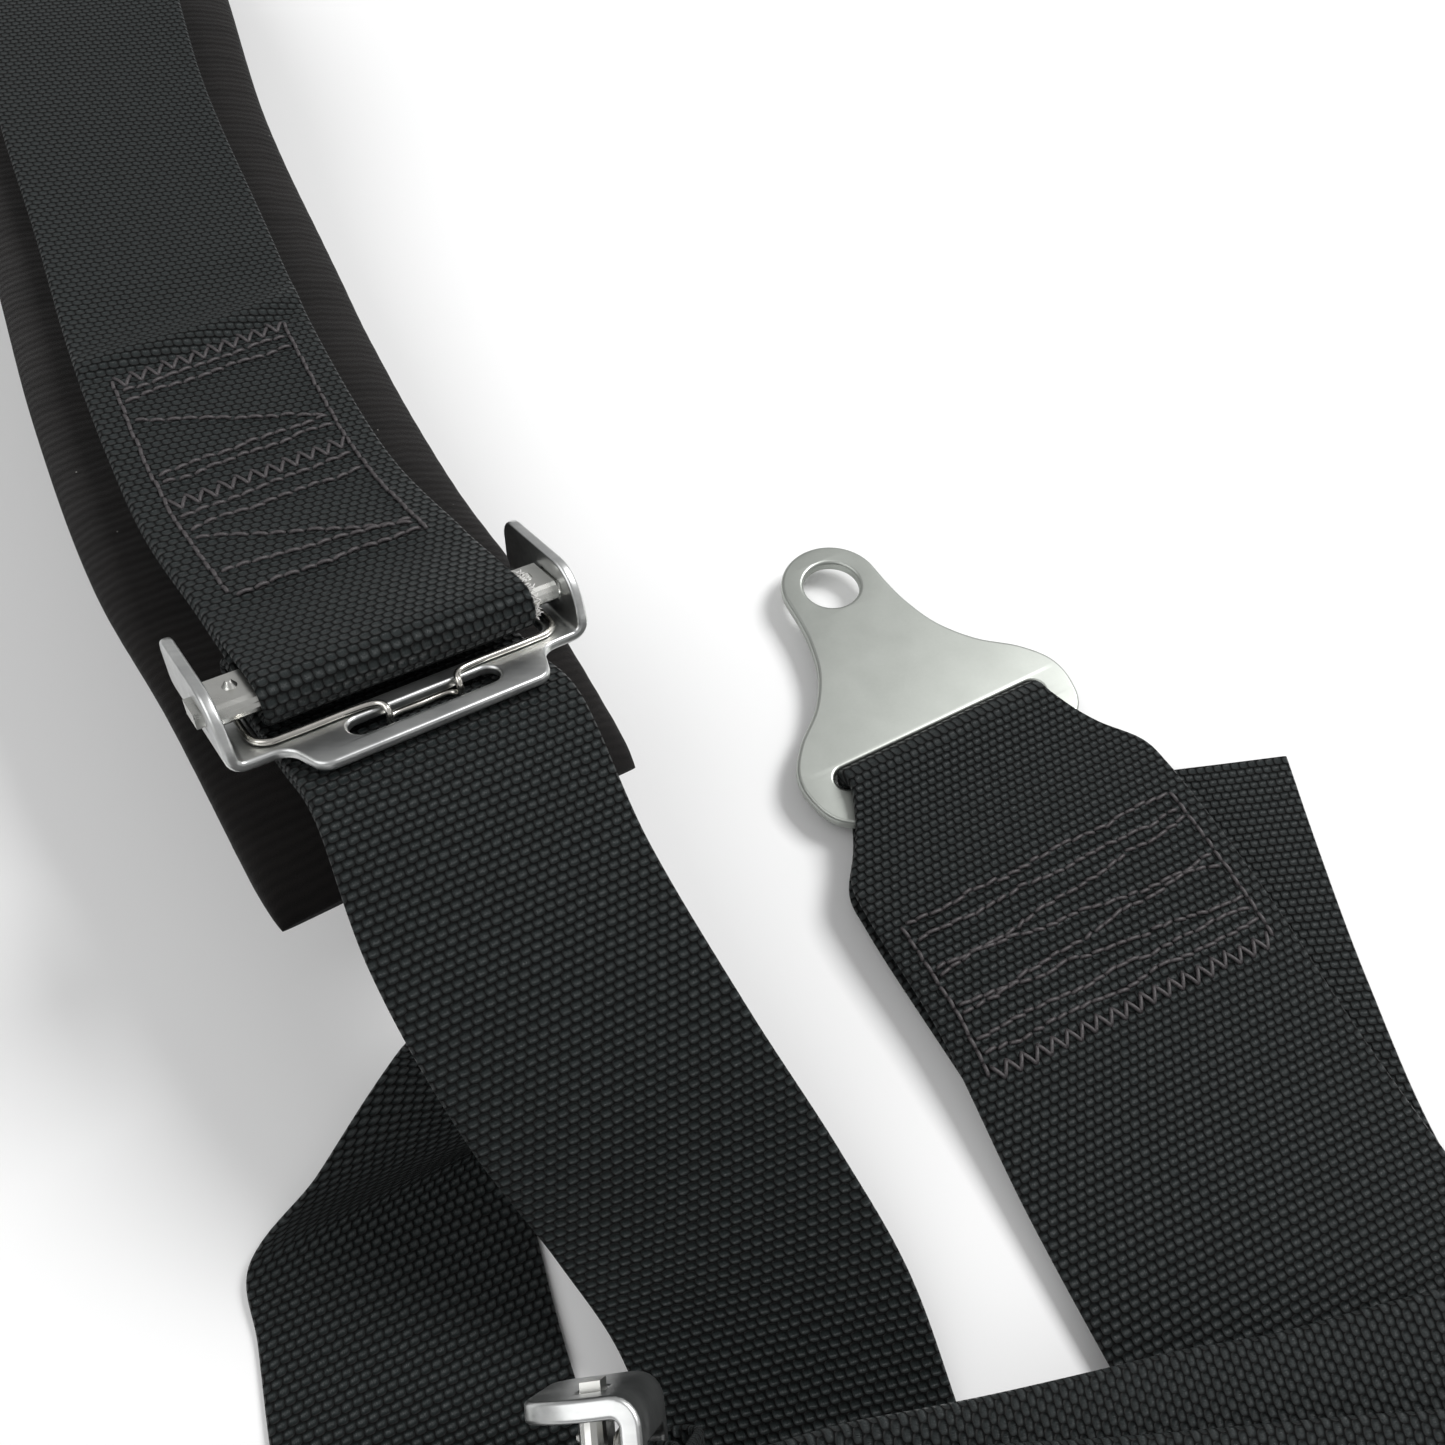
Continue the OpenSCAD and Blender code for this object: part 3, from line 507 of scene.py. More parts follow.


# Painted shade in the hollows of the weave, near black
GAP_PAINTED_SHADE = (0.0001, 0.0002, 0.0002)
WEBBING = webbing_material("webbing", (0.0160, 0.0205, 0.0208), GAP_PAINTED_SHADE, 1.95, 1.65)
LAP_WEBBING = webbing_material("lap_webbing", (0.0180, 0.0222, 0.0226), GAP_PAINTED_SHADE, 1.97, 1.7)
KNIT = knit_material()
ZINC = metal_material("zinc_sheet", (0.50, 0.51, 0.51), (0.74, 0.75, 0.74), (0.24, 0.40))
BAR = metal_material("zinc_bar", (0.60, 0.60, 0.57), (0.74, 0.74, 0.71), (0.24, 0.32),
                     dents=0.000004)
WIRE = metal_material("spring_wire", (0.55, 0.53, 0.49), (0.78, 0.76, 0.71), (0.16, 0.28))
PLATE = metal_material("plate_steel", (0.43, 0.45, 0.42), (0.465, 0.485, 0.455), (0.38, 0.44),
                       (1500, 1500, 1500), 0.000008)
POLISHED = metal_material("polished_steel", (0.60, 0.61, 0.62), (0.68, 0.69, 0.70), (0.22, 0.27),
                          dents=0.000003)
THREAD = thread_material()
FRAY = fray_material()


# ------------------------------------------------------------------ wires, threads and plates
THREAD_R, LAP_THREAD_R, FRAY_R = 0.40, 0.42, 0.11
STITCH_RISE = 0.42                      # how far a stitch stands out of the weave


def tube_rings(points, radius, sides):
    """Vertices and faces of a round tube along points, with closed ends."""
    p = np.asarray(points, float)
    t = unit(np.gradient(p, axis=0))
    side = np.cross(t[0], [0, 0, 1.0])
    if np.linalg.norm(side) < 0.1:
        side = np.cross(t[0], [0, 1.0, 0])
    verts = []
    for i in range(len(p)):
        side = unit(side - t[i] * np.dot(side, t[i]))
        up = np.cross(t[i], side)
        for k in range(sides):
            a = 2 * math.pi * k / sides
            verts.append(p[i] + radius * (side * math.cos(a) + up * math.sin(a)))
    return verts, ring_faces(len(p), sides)


def ring_faces(rows, n):
    """Faces of a closed strip of rows of n vertices each, with its two ends."""
    faces = [(i * n + k, i * n + (k + 1) % n, (i + 1) * n + (k + 1) % n, (i + 1) * n + k)
             for i in range(rows - 1) for k in range(n)]
    return faces + [tuple(range(n))[::-1], tuple((rows - 1) * n + k for k in range(n))]


def tubes(name, runs, radius, material, sides=6):
    """Several separate tubes as one object."""
    verts, faces = [], []
    for points in runs:
        v, f = tube_rings(points, radius, sides)
        faces += [tuple(i + len(verts) for i in face) for face in f]
        verts += v
    return make_object(name, verts, faces, material)


def stitch(belt, a, b):
    """One thread float from a to b, each (across, along): up out of the weave and down again."""
    out = []
    for k in range(6):
        w = k / 5
        h = WEB_T / 2 - 0.1 + STITCH_RISE * math.sin(math.pi * w) ** 0.7
        out.append(belt.at(a[0] + (b[0] - a[0]) * w, a[1] + (b[1] - a[1]) * w, h))
    return out


def seam(belt, points, pitch, slack, rng):
    """A line of stitches through (across, along) points, each end off by up to slack."""
    runs = []
    for p, q in zip(points, points[1:]):
        n = max(1, round(math.dist(p, q) / pitch))
        for k in range(n):
            a = [p[i] + (q[i] - p[i]) * (k + 0.07) / n for i in (0, 1)]
            b = [p[i] + (q[i] - p[i]) * (k + 0.93) / n for i in (0, 1)]
            a = [x + rng.uniform(-slack, slack) for x in a]
            b = [x + rng.uniform(-slack, slack) for x in b]
            runs.append(stitch(belt, a, b))
    return runs


def zigzag(belt, v, half, depth, teeth, slope, rng):
    """A row of V stitches across a belt at v."""
    runs = []
    step = 2 * half / teeth
    for k in range(teeth):
        x = -half + 2 * half * k / teeth
        base = v + slope * x + rng.uniform(-0.25, 0.25)
        top = (x + step / 2, base + depth)
        runs.append(stitch(belt, (x, base), top))
        runs.append(stitch(belt, top, (x + step, base)))
    return runs


def frayed(name, belt, edge, start, end, count):
    """White core fibres pulled out of a belt's edge between two places along it."""
    rng = random.Random(3)
    side = math.copysign(1, edge)
    runs = []
    for _ in range(count):
        v = rng.uniform(start, end)
        u = edge - 0.5 * side
        base = belt.at(u, v, rng.uniform(-0.6, 0.7))
        tip = belt.at(u + side * rng.uniform(0.8, 2.0), v + rng.uniform(-1.6, 1.6),
                      rng.uniform(-0.9, 1.1))
        curl = np.array([rng.uniform(-0.4, 0.4) for _ in range(3)])
        runs.append([base, (base + tip) / 2 + curl, tip])
    return tubes(name, runs, FRAY_R, FRAY, 4)


def plate_mesh(outline, holes, thickness, edge):
    """A flat plate in mm with rounded edges, its underside at z 0, as a bmesh."""
    curve = bpy.data.curves.new("plate", "CURVE")
    curve.dimensions = "2D"
    curve.fill_mode = "BOTH"
    curve.extrude = thickness / 2 - edge
    curve.bevel_depth = edge
    curve.bevel_resolution = 3
    curve.offset = -edge
    for points in [outline, *holes]:
        part = curve.splines.new("POLY")
        part.points.add(len(points) - 1)
        for target, (x, y) in zip(part.points, points):
            target.co = (x, y, 0, 1)
        part.use_cyclic_u = True
    holder = bpy.data.objects.new("plate", curve)
    bpy.context.scene.collection.objects.link(holder)
    graph = bpy.context.evaluated_depsgraph_get()
    mesh = bpy.data.meshes.new_from_object(holder.evaluated_get(graph))
    bpy.data.objects.remove(holder)
    bpy.data.curves.remove(curve)
    bm = bmesh.new()
    bm.from_mesh(mesh)
    bpy.data.meshes.remove(mesh)
    bmesh.ops.remove_doubles(bm, verts=bm.verts, dist=1e-4)
    bmesh.ops.translate(bm, verts=bm.verts, vec=(0, 0, thickness / 2))
    return bm


def cut(bm, places):
    """Splits a flat mesh along lines of constant x, so that it can bend there."""
    for x in places:
        parts = list(bm.verts) + list(bm.edges) + list(bm.faces)
        bmesh.ops.bisect_plane(bm, geom=parts, plane_co=(x, 0, 0), plane_no=(1, 0, 0), dist=1e-5)


def plate_object(name, bm, pose, material, offset):
    """An object from a bmesh in mm, placed at its pose, with its flat faces kept flat."""
    r = rotation(pose[1])
    for v in bm.verts:
        v.co = Vector((r @ np.array(v.co) + np.array(pose[0]) + np.array(offset)) * MM)
    mesh = bpy.data.meshes.new(name)
    bm.normal_update()
    bm.to_mesh(mesh)
    bm.free()
    mesh.shade_smooth()
    mesh.materials.append(material)
    obj = bpy.data.objects.new(name, mesh)
    bpy.context.scene.collection.objects.link(obj)
    weighted = obj.modifiers.new("flat_faces", "WEIGHTED_NORMAL")
    weighted.weight = 80
    return obj


def arc(x, y, r, a, b, n):
    """n points of a circle from a to b degrees."""
    return [(x + r * math.cos(math.radians(t)), y + r * math.sin(math.radians(t)))
            for t in np.linspace(a, b, n)]


def round_box(x0, y0, x1, y1, r, n=6):
    """A box's outline with corners of radius r."""
    return (arc(x1 - r, y1 - r, r, 0, 90, n) + arc(x0 + r, y1 - r, r, 90, 180, n)
            + arc(x0 + r, y0 + r, r, 180, 270, n) + arc(x1 - r, y0 + r, r, 270, 360, n))


def stadium(x, y, length, width):
    """A slot's outline with round ends."""
    r = width / 2
    e = length / 2 - r
    return arc(x + e, y, r, -90, 90, 14) + arc(x - e, y, r, 90, 270, 14)


def mirrored(points):
    """A whole outline from its right half."""
    return points + [(-x, y) for x, y in points[::-1]]


def smooth_curve(points, n=6):
    """A smooth curve through points, n steps between two."""
    p = np.array(points, float)
    e = np.vstack([2 * p[0] - p[1], p, 2 * p[-1] - p[-2]])
    out = []
    for a, b, c, d in zip(e, e[1:], e[2:], e[3:]):
        for k in range(n):
            u = k / n
            out.append(tuple((2 * b + (c - a) * u + (2 * a - 5 * b + 4 * c - d) * u * u
                              + (3 * b - a - 3 * c + d) * u ** 3) / 2))
    return out + [tuple(p[-1])]


# ------------------------------------------------------------------ fittings
BEND_R = 1.2                            # inside radius of an adjuster's folds
BEND_STEPS = 6
LIP_SHOULDER, LIP_FRONT, LIP_R = 10.6, 18.4, 3.5
LIP_SLOT = (0, 12.2, 27.8, 4.7)
WINDOW_REAR, WINDOW_FRONT = -10.8, 6.3
FLANGE_REAR, PLATE_REAR, FLANGE_R = -17.0, -14.5, 4


def adjuster_frame(name, pose, w, t, top, offset=(0, 0, 0)):
    """Pressed sheet: base with window and slotted lip, and a flange folded up on each side."""
    half = w / 2 + FLANGE_GAP
    flat = half - t - BEND_R
    neutral = BEND_R + t / 2
    bend = neutral * math.pi / 2
    base = PLATE_TOP - t / 2

    def rise(z):
        """Where a flange's height lies on the flat blank."""
        return flat + bend + z - base - neutral

    tip, foot = rise(top), rise(PLATE_TOP + 0.5)
    edge = [(0.01, LIP_FRONT)] + arc(half - 15, LIP_FRONT - LIP_R, LIP_R, 90, 15, 7)
    edge += arc(half - 7.3, LIP_SHOULDER + LIP_R, LIP_R, 195, 270, 7)
    edge += [(half - 4, LIP_SHOULDER - 0.1)]
    edge += [(foot + (tip - foot) * math.sin(math.radians(a)),
              2 + (LIP_SHOULDER - 2.2) * math.cos(math.radians(a))) for a in range(0, 91, 10)]
    edge += [(tip - FLANGE_R + FLANGE_R * math.cos(math.radians(a)),
              FLANGE_REAR + FLANGE_R - FLANGE_R * math.sin(math.radians(a)))
             for a in range(0, 91, 15)]
    edge += [(flat + bend + 1, FLANGE_REAR), (flat + bend, FLANGE_REAR + 0.6),
             (flat, PLATE_REAR), (0.01, PLATE_REAR)]
    holes = [round_box(-w / 2 - 1.5, WINDOW_REAR, w / 2 + 1.5, WINDOW_FRONT, 1.6),
             stadium(*LIP_SLOT)]
    low, high = rise(-1.8), rise(1.8)   # the slot that the bar's lug slides in
    for s in (-1, 1):
        a, b = sorted((s * low, s * high))
        holes.append(round_box(a, -2.8, b, 3.8, 0.5, 4))
    bm = plate_mesh(mirrored(edge), holes, t, min(0.7, t * 0.32))
    steps = [flat + bend * k / BEND_STEPS for k in range(BEND_STEPS + 1)]
    cut(bm, [s * x for x in steps for s in (-1, 1)])
    for v in bm.verts:
        p, y, h = abs(v.co.x), v.co.y, v.co.z - t / 2
        s = math.copysign(1, v.co.x)
        if p <= flat:
            x, z = p, base + h
        elif p <= flat + bend:
            a = (p - flat) / neutral
            x = flat + (neutral - h) * math.sin(a)
            z = base + neutral - (neutral - h) * math.cos(a)
        else:
            x, z = flat + neutral - h, base + neutral + p - flat - bend
        v.co = (s * x, y, z)
    return plate_object(name, bm, pose, ZINC, offset)


def spring(name, pose, w, t, offset=(0, 0, 0)):
    """Wire bent to hook through the lip's slot and press the bar back."""
    under, over, x = PLATE_TOP - t - WIRE_R - 0.2, PLATE_TOP + WIRE_R + 0.2, w / 2
    half = [(0, 9.4, under), (5.2, 9.4, under), (6.2, 10.2, under), (6.6, 11.4, under + 0.4),
            (6.6, 11.9, PLATE_TOP - t / 2), (6.6, 11.4, over - 0.4), (6.9, 10.2, over),
            (8.2, 9.2, over), (x - 3, 8.8, over), (x + 1, 8.5, over), (x + 2.8, 7, over),
            (x + 3.2, 5, over), (x + 3.2, 0.5, over)]
    points = [(-a, b, c) for a, b, c in half[:0:-1]] + half
    stations = [[*p, 1, 0, 0, 1] for p in placed(points, pose) + np.array(offset)]
    path = spline(stations, 0.5)[:, :3]
    return tubes(name, [path], WIRE_R, WIRE, 12)


RING_R, BOLT_R = 12.0, 6.75             # an anchor plate's ring and its bolt hole
FLANK = [(12, 0), (12.35, -6), (13.3, -12.5), (16, -21), (21.5, -29), (29, -35.5), (33.5, -42),
         (34, -49), (31, -56), (22, -61), (10, -63.2)]
SLOT = (0, -47.5, 54.0, 5.4)            # for the webbing, in anchor plates and tongues


def anchor_plate(name, pose, offset=(0, 0, 0)):
    """A bolt-in plate: a ring that widens to a slot for the webbing."""
    outline = arc(0, 0, RING_R, 90, 0, 24)[:-1] + smooth_curve(FLANK)
    holes = [arc(0, 0, BOLT_R, 0, 352.5, 48), stadium(*SLOT)]
    bm = plate_mesh(mirrored(outline), holes, PLATE_T, 0.85)
    return plate_object(name, bm, pose, PLATE, offset)


def tongue(name, pose, offset=(0, 0, 0)):
    """A tongue plate: a square window at its tip and a slot for the webbing."""
    outline = (arc(12, 8, 9, 90, 0, 8) + [(20.9, -3), (21.6, -10)] + [(30.5, -40)]
               + arc(25, -47, 9, 35, 0, 5) + arc(25, -54, 9, 0, -90, 8))
    holes = [round_box(-12, -6.5, 12, 6.5, 3), stadium(*SLOT)]
    bm = plate_mesh(mirrored([(0.01, 17)] + outline + [(0.01, -63)]), holes, PLATE_T, 0.8)
    return plate_object(name, bm, pose, PLATE, offset)


# ------------------------------------------------------------------ belts
FOLD_OUT = 2.7                          # from the slot's edge to the turned-under webbing
# Rows of stitching: how far along from the bar or the plate, and the slope across the belt
SHOULDER_ZIGZAGS = [(-100, -0.29), (-58, -0.2)]
SHOULDER_SEAMS = [(-94.5, -0.28), (-91, -0.24), (-75, 0.29), (-66, -0.2), (-63, -0.2),
                  (-52, -0.2), (-47, -0.15), (-34, 0.43), (-29, 0.05), (-23, -0.05)]
LAP_SEAMS = [(-3, 0), (1, 0), (6, -0.1), (10.5, 0.1), (15, -0.1), (19, 0.08), (23.5, 0), (27, 0)]
LAP_ZIGZAG = 29.5


def fitting(piece, node, body):
    """Hides the CAD node that a piece stands for, and parents the piece to the body it moves with.
    """
    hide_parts(node)
    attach(piece, body)


def on_webbing(piece):
    """Parents thread or frayed yarn, which lies on a belt, to the webbing's body."""
    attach(piece, ROOT)


def shoulder_side(side, offset):
    """A shoulder belt with its pad, adjuster, anchor plate and tongue."""
    def name(part):
        return f"{side}_shoulder_{part}"

    # Upper strap: anchor plate, over the pad, sewn round the adjuster's bar
    along = (loop_stations(SHOULDER_ANCHOR, SHOULDER_W, 12, 1.5)
             + route(UPPER_STRAP_ROUTE, SHOULDER_W))
    control = along + profile(SEWN, SHOULDER_ADJUSTER, SHOULDER_W, -1)[::-1]
    doubled = layer_below(Belt(control), (along[-1], along[-2]), 0.1)
    upper = Belt(control + doubled, offset=offset)
    bar_v = upper.nearest(placed([0, 0, 3.7], SHOULDER_ADJUSTER) + offset)

    def relief(u, v):
        """A ridge where the doubled layer ends, a groove beside it, and a dip near the bar."""
        d = v - (bar_v - 105 - 0.29 * u - 0.004 * u * u)
        bump = 1.8 * np.exp(-((d / 4.0) ** 2)) - 0.5 * np.exp(-(((d + 14) / 8.0) ** 2))
        groove = 0.35 * np.exp(-(((d - 5.5) / 1.6) ** 2))
        dip = 0.45 * np.exp(-(((v - bar_v + 17) / 5.0) ** 2))
        return (bump - groove - dip) * (1 - (u / 28.0) ** 4)

    strap = woven(name("upper_belt"), upper, WEBBING, relief)
    rng = random.Random(7)
    half = SHOULDER_W / 2 - 7
    runs = []
    for v, slope in SHOULDER_ZIGZAGS:
        runs += zigzag(upper, bar_v + v, half + 0.5, 3.4, 11, slope, rng)
    for v, slope in SHOULDER_SEAMS:
        wave = [(u, bar_v + v + slope * u + 0.35 * math.sin(u * 0.4 + v))
                for u in np.linspace(-half, half, 7)]
        runs += seam(upper, wave, 2.9, 0.3, rng)
    for u in (-half - 1, half + 1):
        runs += seam(upper, [(u, bar_v - 99 - 0.29 * u), (u, bar_v - 23)], 2.7, 0.2, rng)
    thread = tubes(name("box_stitching"), runs, THREAD_R, THREAD)
    fray = frayed(name("frayed_edge"), upper, SHOULDER_W / 2, bar_v - 1, bar_v + 11, 70)

    # Lower strap: tongue, under the lip, round the frame's rear member, and out as the tail
    run = profile(running_points(SHOULDER_SHEET), SHOULDER_ADJUSTER, SHOULDER_W, -1)
    control = (loop_stations(SHOULDER_TONGUE, SHOULDER_W, 12, 0, -1)
               + route(LOWER_STRAP_ROUTE, SHOULDER_W)[::-1] + run + route(TAIL_ROUTE, SHOULDER_W))
    lower = Belt(control, offset=offset)
    lower_strap = woven(name("lower_belt"), lower, WEBBING)

    pad = shoulder_pad(name("pad_cover"), offset)
    plate = anchor_plate(name("anchor_plate"), SHOULDER_ANCHOR, offset)
    tip = tongue(name("tongue_plate"), SHOULDER_TONGUE, offset)
    pressed = adjuster_frame(name("adjuster_body"), SHOULDER_ADJUSTER, SHOULDER_W,
                             SHOULDER_SHEET, SHOULDER_FLANGE, offset)
    wire = spring(name("adjuster_wire"), SHOULDER_ADJUSTER, SHOULDER_W, SHOULDER_SHEET, offset)
    for piece, node, slot, body in (
        (plate, "anchor", "plate_steel", name("anchor_body")),
        (tip, "tongue", "plate_steel", name("tongue_body")),
        (pressed, "adjuster_frame", "zinc_sheet", name("frame_body")),
        (wire, "adjuster_spring", "spring_wire", name("frame_body")),
        (pad, "pad", "pad_fabric", ROOT),
    ):
        fitting(piece, name(node), body)
    on_webbing(thread)
    on_webbing(fray)
    sewn_belt(strap,
              [name("upper_strap"), name("anchor_loop")])
    sewn_belt(lower_strap,
              [name("lower_strap"), name("tongue_loop")])


def sewn_belt(obj, nodes):
    """Hides the CAD nodes that a belt stands for, and bakes its placement into its mesh."""
    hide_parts(*nodes)
    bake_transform(obj)


def shoulder_pad(name, offset):
    """Foam in a knit cover: a crowned strip, thin at its sewn edges, closed at square ends."""
    s = Belt(route(PAD_ROUTE, PAD_W), step=1.3, offset=offset)
    rows, half = len(s.mid), PAD_W / 2
    sides = 64
    a = (np.arange(sides) + 0.5) * 2 * math.pi / sides
    x = np.sign(np.cos(a)) * np.abs(np.cos(a)) ** 0.42
    z = np.sign(np.sin(a)) * np.abs(np.sin(a)) ** 0.75
    verts = np.zeros((rows, sides, 3))
    uv = np.zeros((rows, sides, 2))
    for i in range(rows):
        v = s.along[i]
        end = min(v, s.length - v)
        thin = min(1.0, 0.25 + 0.75 * (end / 9.0) ** 0.5) if end < 9 else 1.0
        tuck = 1.0 - 0.03 * math.exp(-end / 5.0)
        for k in range(sides):
            rib = 0.07 * math.sin(v * 0.9 + 2.5 * noise.noise(Vector((x[k] * 2, v * 0.05, 3))))
            fold = 0.45 * noise.noise(Vector((x[k] * 1.6, v * 0.045, 7)))
            under = -0.5 * math.exp(-((abs(x[k]) * half / 24) ** 6)) if z[k] > 0 else 0
            body = z[k] * thin * (PAD_T / 2 - 0.8) + (rib + fold) * thin + under * thin
            droop = -1.4 * abs(x[k]) ** 3
            verts[i, k] = s.mid[i] + s.across[i] * x[k] * half * tuck + s.normal[i] * (body + droop)
            uv[i, k] = (x[k] * half + (200 if z[k] < 0 else 0), v)
    faces = ring_faces(rows, sides)
    return make_object(name, verts.reshape(-1, 3), faces, KNIT, uv=uv.reshape(-1, 2))


def woven_lap(name, belt, pose):
    """Lap webbing, with its edges turned under in the slot of the plate at pose."""
    fold = belt.nearest(placed([0, LOOP_EDGE + FOLD_OUT, LOOP_MID], pose))
    return woven(name, belt, LAP_WEBBING, columns=LAP_COLUMNS, folds=[fold])


def right_lap():
    """The right lap belt with its box stitching, and what hangs on its far end."""
    run = profile(running_points(LAP_SHEET), RIGHT_LAP_ADJUSTER, LAP_W)
    control = (loop_stations(LAP_ANCHOR, LAP_W, 45, 0.9) + route(RIGHT_LAP_ROUTE, LAP_W) + run
               + route(RIGHT_LAP_TAIL_ROUTE, LAP_W)[::-1])
    belt = Belt(control)
    strap = woven_lap("right_lap_belt", belt, LAP_ANCHOR)
    rng = random.Random(11)
    top = belt.nearest(placed([0, -86, TOP_Z], LAP_ANCHOR))
    half = 32.5
    runs = zigzag(belt, top + LAP_ZIGZAG, half, 3.0, 19, 0.0, rng)
    for v, slope in LAP_SEAMS:
        wave = [(u, top + v + slope * u + 0.5 * math.sin(u * 0.3 + v))
                for u in np.linspace(-half, half, 9)]
        runs += seam(belt, wave, 3.0, 0.35, rng)
    for u in (-half - 1, half + 1):
        runs += seam(belt, [(u, top - 3), (u, top + 31)], 2.8, 0.2, rng)
    on_webbing(tubes("right_lap_box_stitching", runs, LAP_THREAD_R, THREAD))
    sewn_belt(strap,
              ["right_lap_strap", "right_lap_anchor_loop"])

    sewn = profile(SEWN, RIGHT_LAP_ADJUSTER, LAP_W)
    inner = Belt(loop_stations(RIGHT_LAP_TONGUE, LAP_W, 12, 1, -1) + sewn[::-1])
    strap = woven_lap("right_lap_inner_belt", inner, RIGHT_LAP_TONGUE)
    sewn_belt(strap,
              ["right_lap_inner_strap", "right_lap_tongue_loop"])
    lap_fittings("right", LAP_ANCHOR, RIGHT_LAP_ADJUSTER)
    fitting(tongue("right_lap_tongue_plate", RIGHT_LAP_TONGUE), "right_lap_tongue",
            "right_lap_tongue_body")


def left_lap():
    """The left lap belt, and the short belt from its adjuster to the latch."""
    run = profile(running_points(LAP_SHEET), LEFT_LAP_ADJUSTER, LAP_W)
    control = (loop_stations(LEFT_LAP_ANCHOR, LAP_W, 12, 0)
               + route(LEFT_LAP_ROUTE, LAP_W)[::-1] + run + route(LEFT_LAP_TAIL_ROUTE, LAP_W))
    belt = Belt(control)
    strap = woven_lap("left_lap_belt", belt, LEFT_LAP_ANCHOR)
    sewn_belt(strap,
              ["left_lap_strap", "left_lap_anchor_loop"])

    # The short belt: doubled end, round the bar, then through the latch base's slot and back
    away = route(LATCH_STRAP_ROUTE, LAP_W)
    doubled = layer_below(Belt(away), away[:3], 0.2)
    narrow = BUNCHED_W + (WIDE_W - BUNCHED_W) * NARROW_SHARE
    turn = [(NARROW_Y, TOP_Z, narrow), *slot_turn(BUNCHED_W, np.arange(90, -90.1, -22.5)),
            (NARROW_Y, LOOP_MID - LOOP_R, narrow), (-62, UNDER_Z, 62), (-72, UNDER_Z, LAP_W)]
    inner = Belt(doubled[::-1] + profile(SEWN[2:14], LEFT_LAP_ADJUSTER, LAP_W) + away
                 + profile(turn, LATCH, LAP_W, -1))
    strap = woven_lap("left_lap_inner_belt", inner, LATCH)
    fitting(strap, "left_lap_inner_strap", ROOT)
    lip_v = inner.nearest(placed([0, 6.3, 0], LEFT_LAP_ADJUSTER))
    north = max((LAP_W / 2, -LAP_W / 2), key=lambda u: inner.at(u, lip_v)[1])
    on_webbing(frayed("left_lap_frayed_edge", inner, north, lip_v - 3, lip_v + 8, 34))
    lap_fittings("left", LEFT_LAP_ANCHOR, LEFT_LAP_ADJUSTER)


def lap_fittings(side, anchor_pose, adjuster_pose):
    """A lap belt's anchor plate, adjuster frame and adjuster spring."""
    plate = anchor_plate(f"{side}_lap_anchor_plate", anchor_pose)
    pressed = adjuster_frame(f"{side}_lap_adjuster_body", adjuster_pose, LAP_W, LAP_SHEET,
                             LAP_FLANGE)
    wire = spring(f"{side}_lap_adjuster_wire", adjuster_pose, LAP_W, LAP_SHEET)
    for piece, node, slot, body in (
        (plate, "anchor", "plate_steel", "anchor_body"),
        (pressed, "adjuster_frame", "zinc_sheet", "frame_body"),
        (wire, "adjuster_spring", "spring_wire", "frame_body"),
    ):
        fitting(piece, f"{side}_lap_{node}", f"{side}_lap_{body}")


def finish_node(node, material, edge):
    """Gives a CAD node its material and, where edge is above 0 mm, rounded edges."""
    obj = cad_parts[node]
    for slot in obj.material_slots:
        slot.material = material
    weld = obj.modifiers.new("weld", "WELD")
    weld.merge_threshold = 1e-6
    if edge:
        bevel = obj.modifiers.new("round", "BEVEL")
        bevel.width = edge * MM
        bevel.segments = 3
        bevel.limit_method = "ANGLE"
        bevel.angle_limit = math.radians(40)


# ------------------------------------------------------------------ camera, light and floor
CAMERA_AT = np.array([-26.0, -189.6, 234.5])
CAMERA_LOOKS = np.array([0, 0.5446, -0.8387])
SENSOR_MM = 36
LENS_MM = 1248 / 1445 * SENSOR_MM       # focal length over the photo's width, both in pixels
FLOOR_HALF, FLOOR_GREY = 4.0, 0.93
WORLD_STRENGTH = 0.42
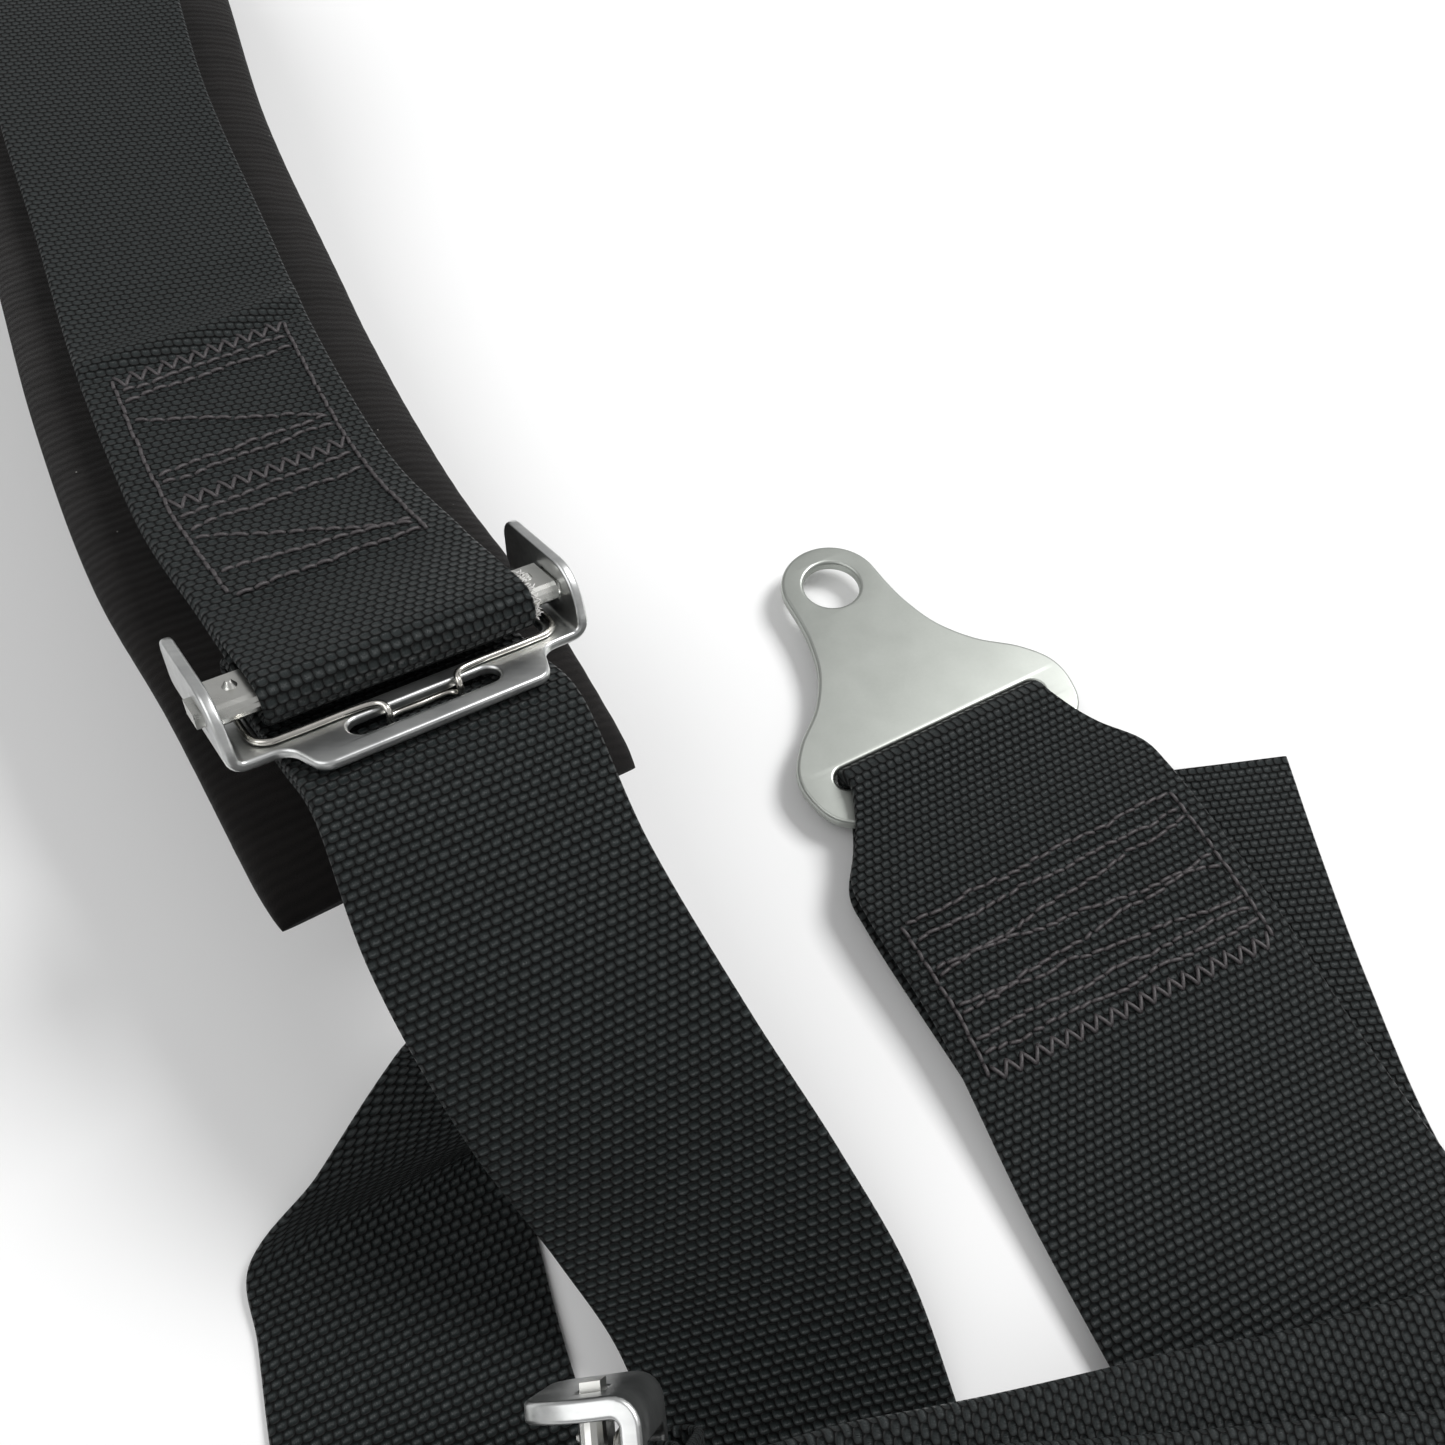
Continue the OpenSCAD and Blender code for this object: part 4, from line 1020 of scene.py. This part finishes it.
# Name, place and size in metres, and power in watts
LIGHTS = [("key", (0.8, 0.42, 1.1), 0.55, 16.5), ("fill", (-0.9, -0.5, 1.2), 1.4, 9.0)]
LIGHTS_LOOK_AT = Vector((0, -0.1, 0))


def studio():
    """A camera that matches the photo's, a pale floor and two soft lights."""
    data = bpy.data.cameras.new("camera")
    data.lens = LENS_MM
    data.sensor_width = SENSOR_MM
    data.clip_start = 0.01
    camera = bpy.data.objects.new("camera", data)
    camera.location = Vector(CAMERA_AT * MM)
    camera.rotation_euler = Vector(CAMERA_LOOKS).to_track_quat("-Z", "Y").to_euler()
    bpy.context.scene.collection.objects.link(camera)
    bpy.context.scene.camera = camera

    mesh = bpy.data.meshes.new("floor")
    corners = [(-1, -1), (1, -1), (1, 1), (-1, 1)]
    mesh.from_pydata([(x * FLOOR_HALF, y * FLOOR_HALF, FLOOR_Z * MM) for x, y in corners],
                     [], [(0, 1, 2, 3)])
    grey = (FLOOR_GREY, FLOOR_GREY, FLOOR_GREY, 1)
    mesh.materials.append(Nodes("floor").finish(Base_Color=grey, Roughness=0.9))
    floor = bpy.data.objects.new("floor", mesh)
    bpy.context.scene.collection.objects.link(floor)

    world = bpy.data.worlds.new("studio")
    world.use_nodes = True
    background = world.node_tree.nodes["Background"]
    background.inputs["Color"].default_value = (1, 1, 1, 1)
    background.inputs["Strength"].default_value = WORLD_STRENGTH
    bpy.context.scene.world = world
    for name, at, size, power in LIGHTS:
        light = bpy.data.lights.new(name, "AREA")
        light.energy = power
        light.size = size
        lamp = bpy.data.objects.new(name, light)
        lamp.location = at
        aim = LIGHTS_LOOK_AT - Vector(at)
        lamp.rotation_euler = aim.to_track_quat("-Z", "Y").to_euler()
        bpy.context.scene.collection.objects.link(lamp)
    bpy.context.scene.view_settings.view_transform = "Standard"


studio()
shoulder_side("right", np.zeros(3))
shoulder_side("left", FAR_SHOULDER)
right_lap()
left_lap()
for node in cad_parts:
    if node.endswith("adjuster_bar"):
        finish_node(node, BAR, 0.35)
    elif node == "latch_base":
        finish_node(node, PLATE, 0)
    elif node in ("latch_lever", "latch_pin"):
        finish_node(node, POLISHED, 0.4)
    elif node == "latch_spring":
        finish_node(node, WIRE, 0)
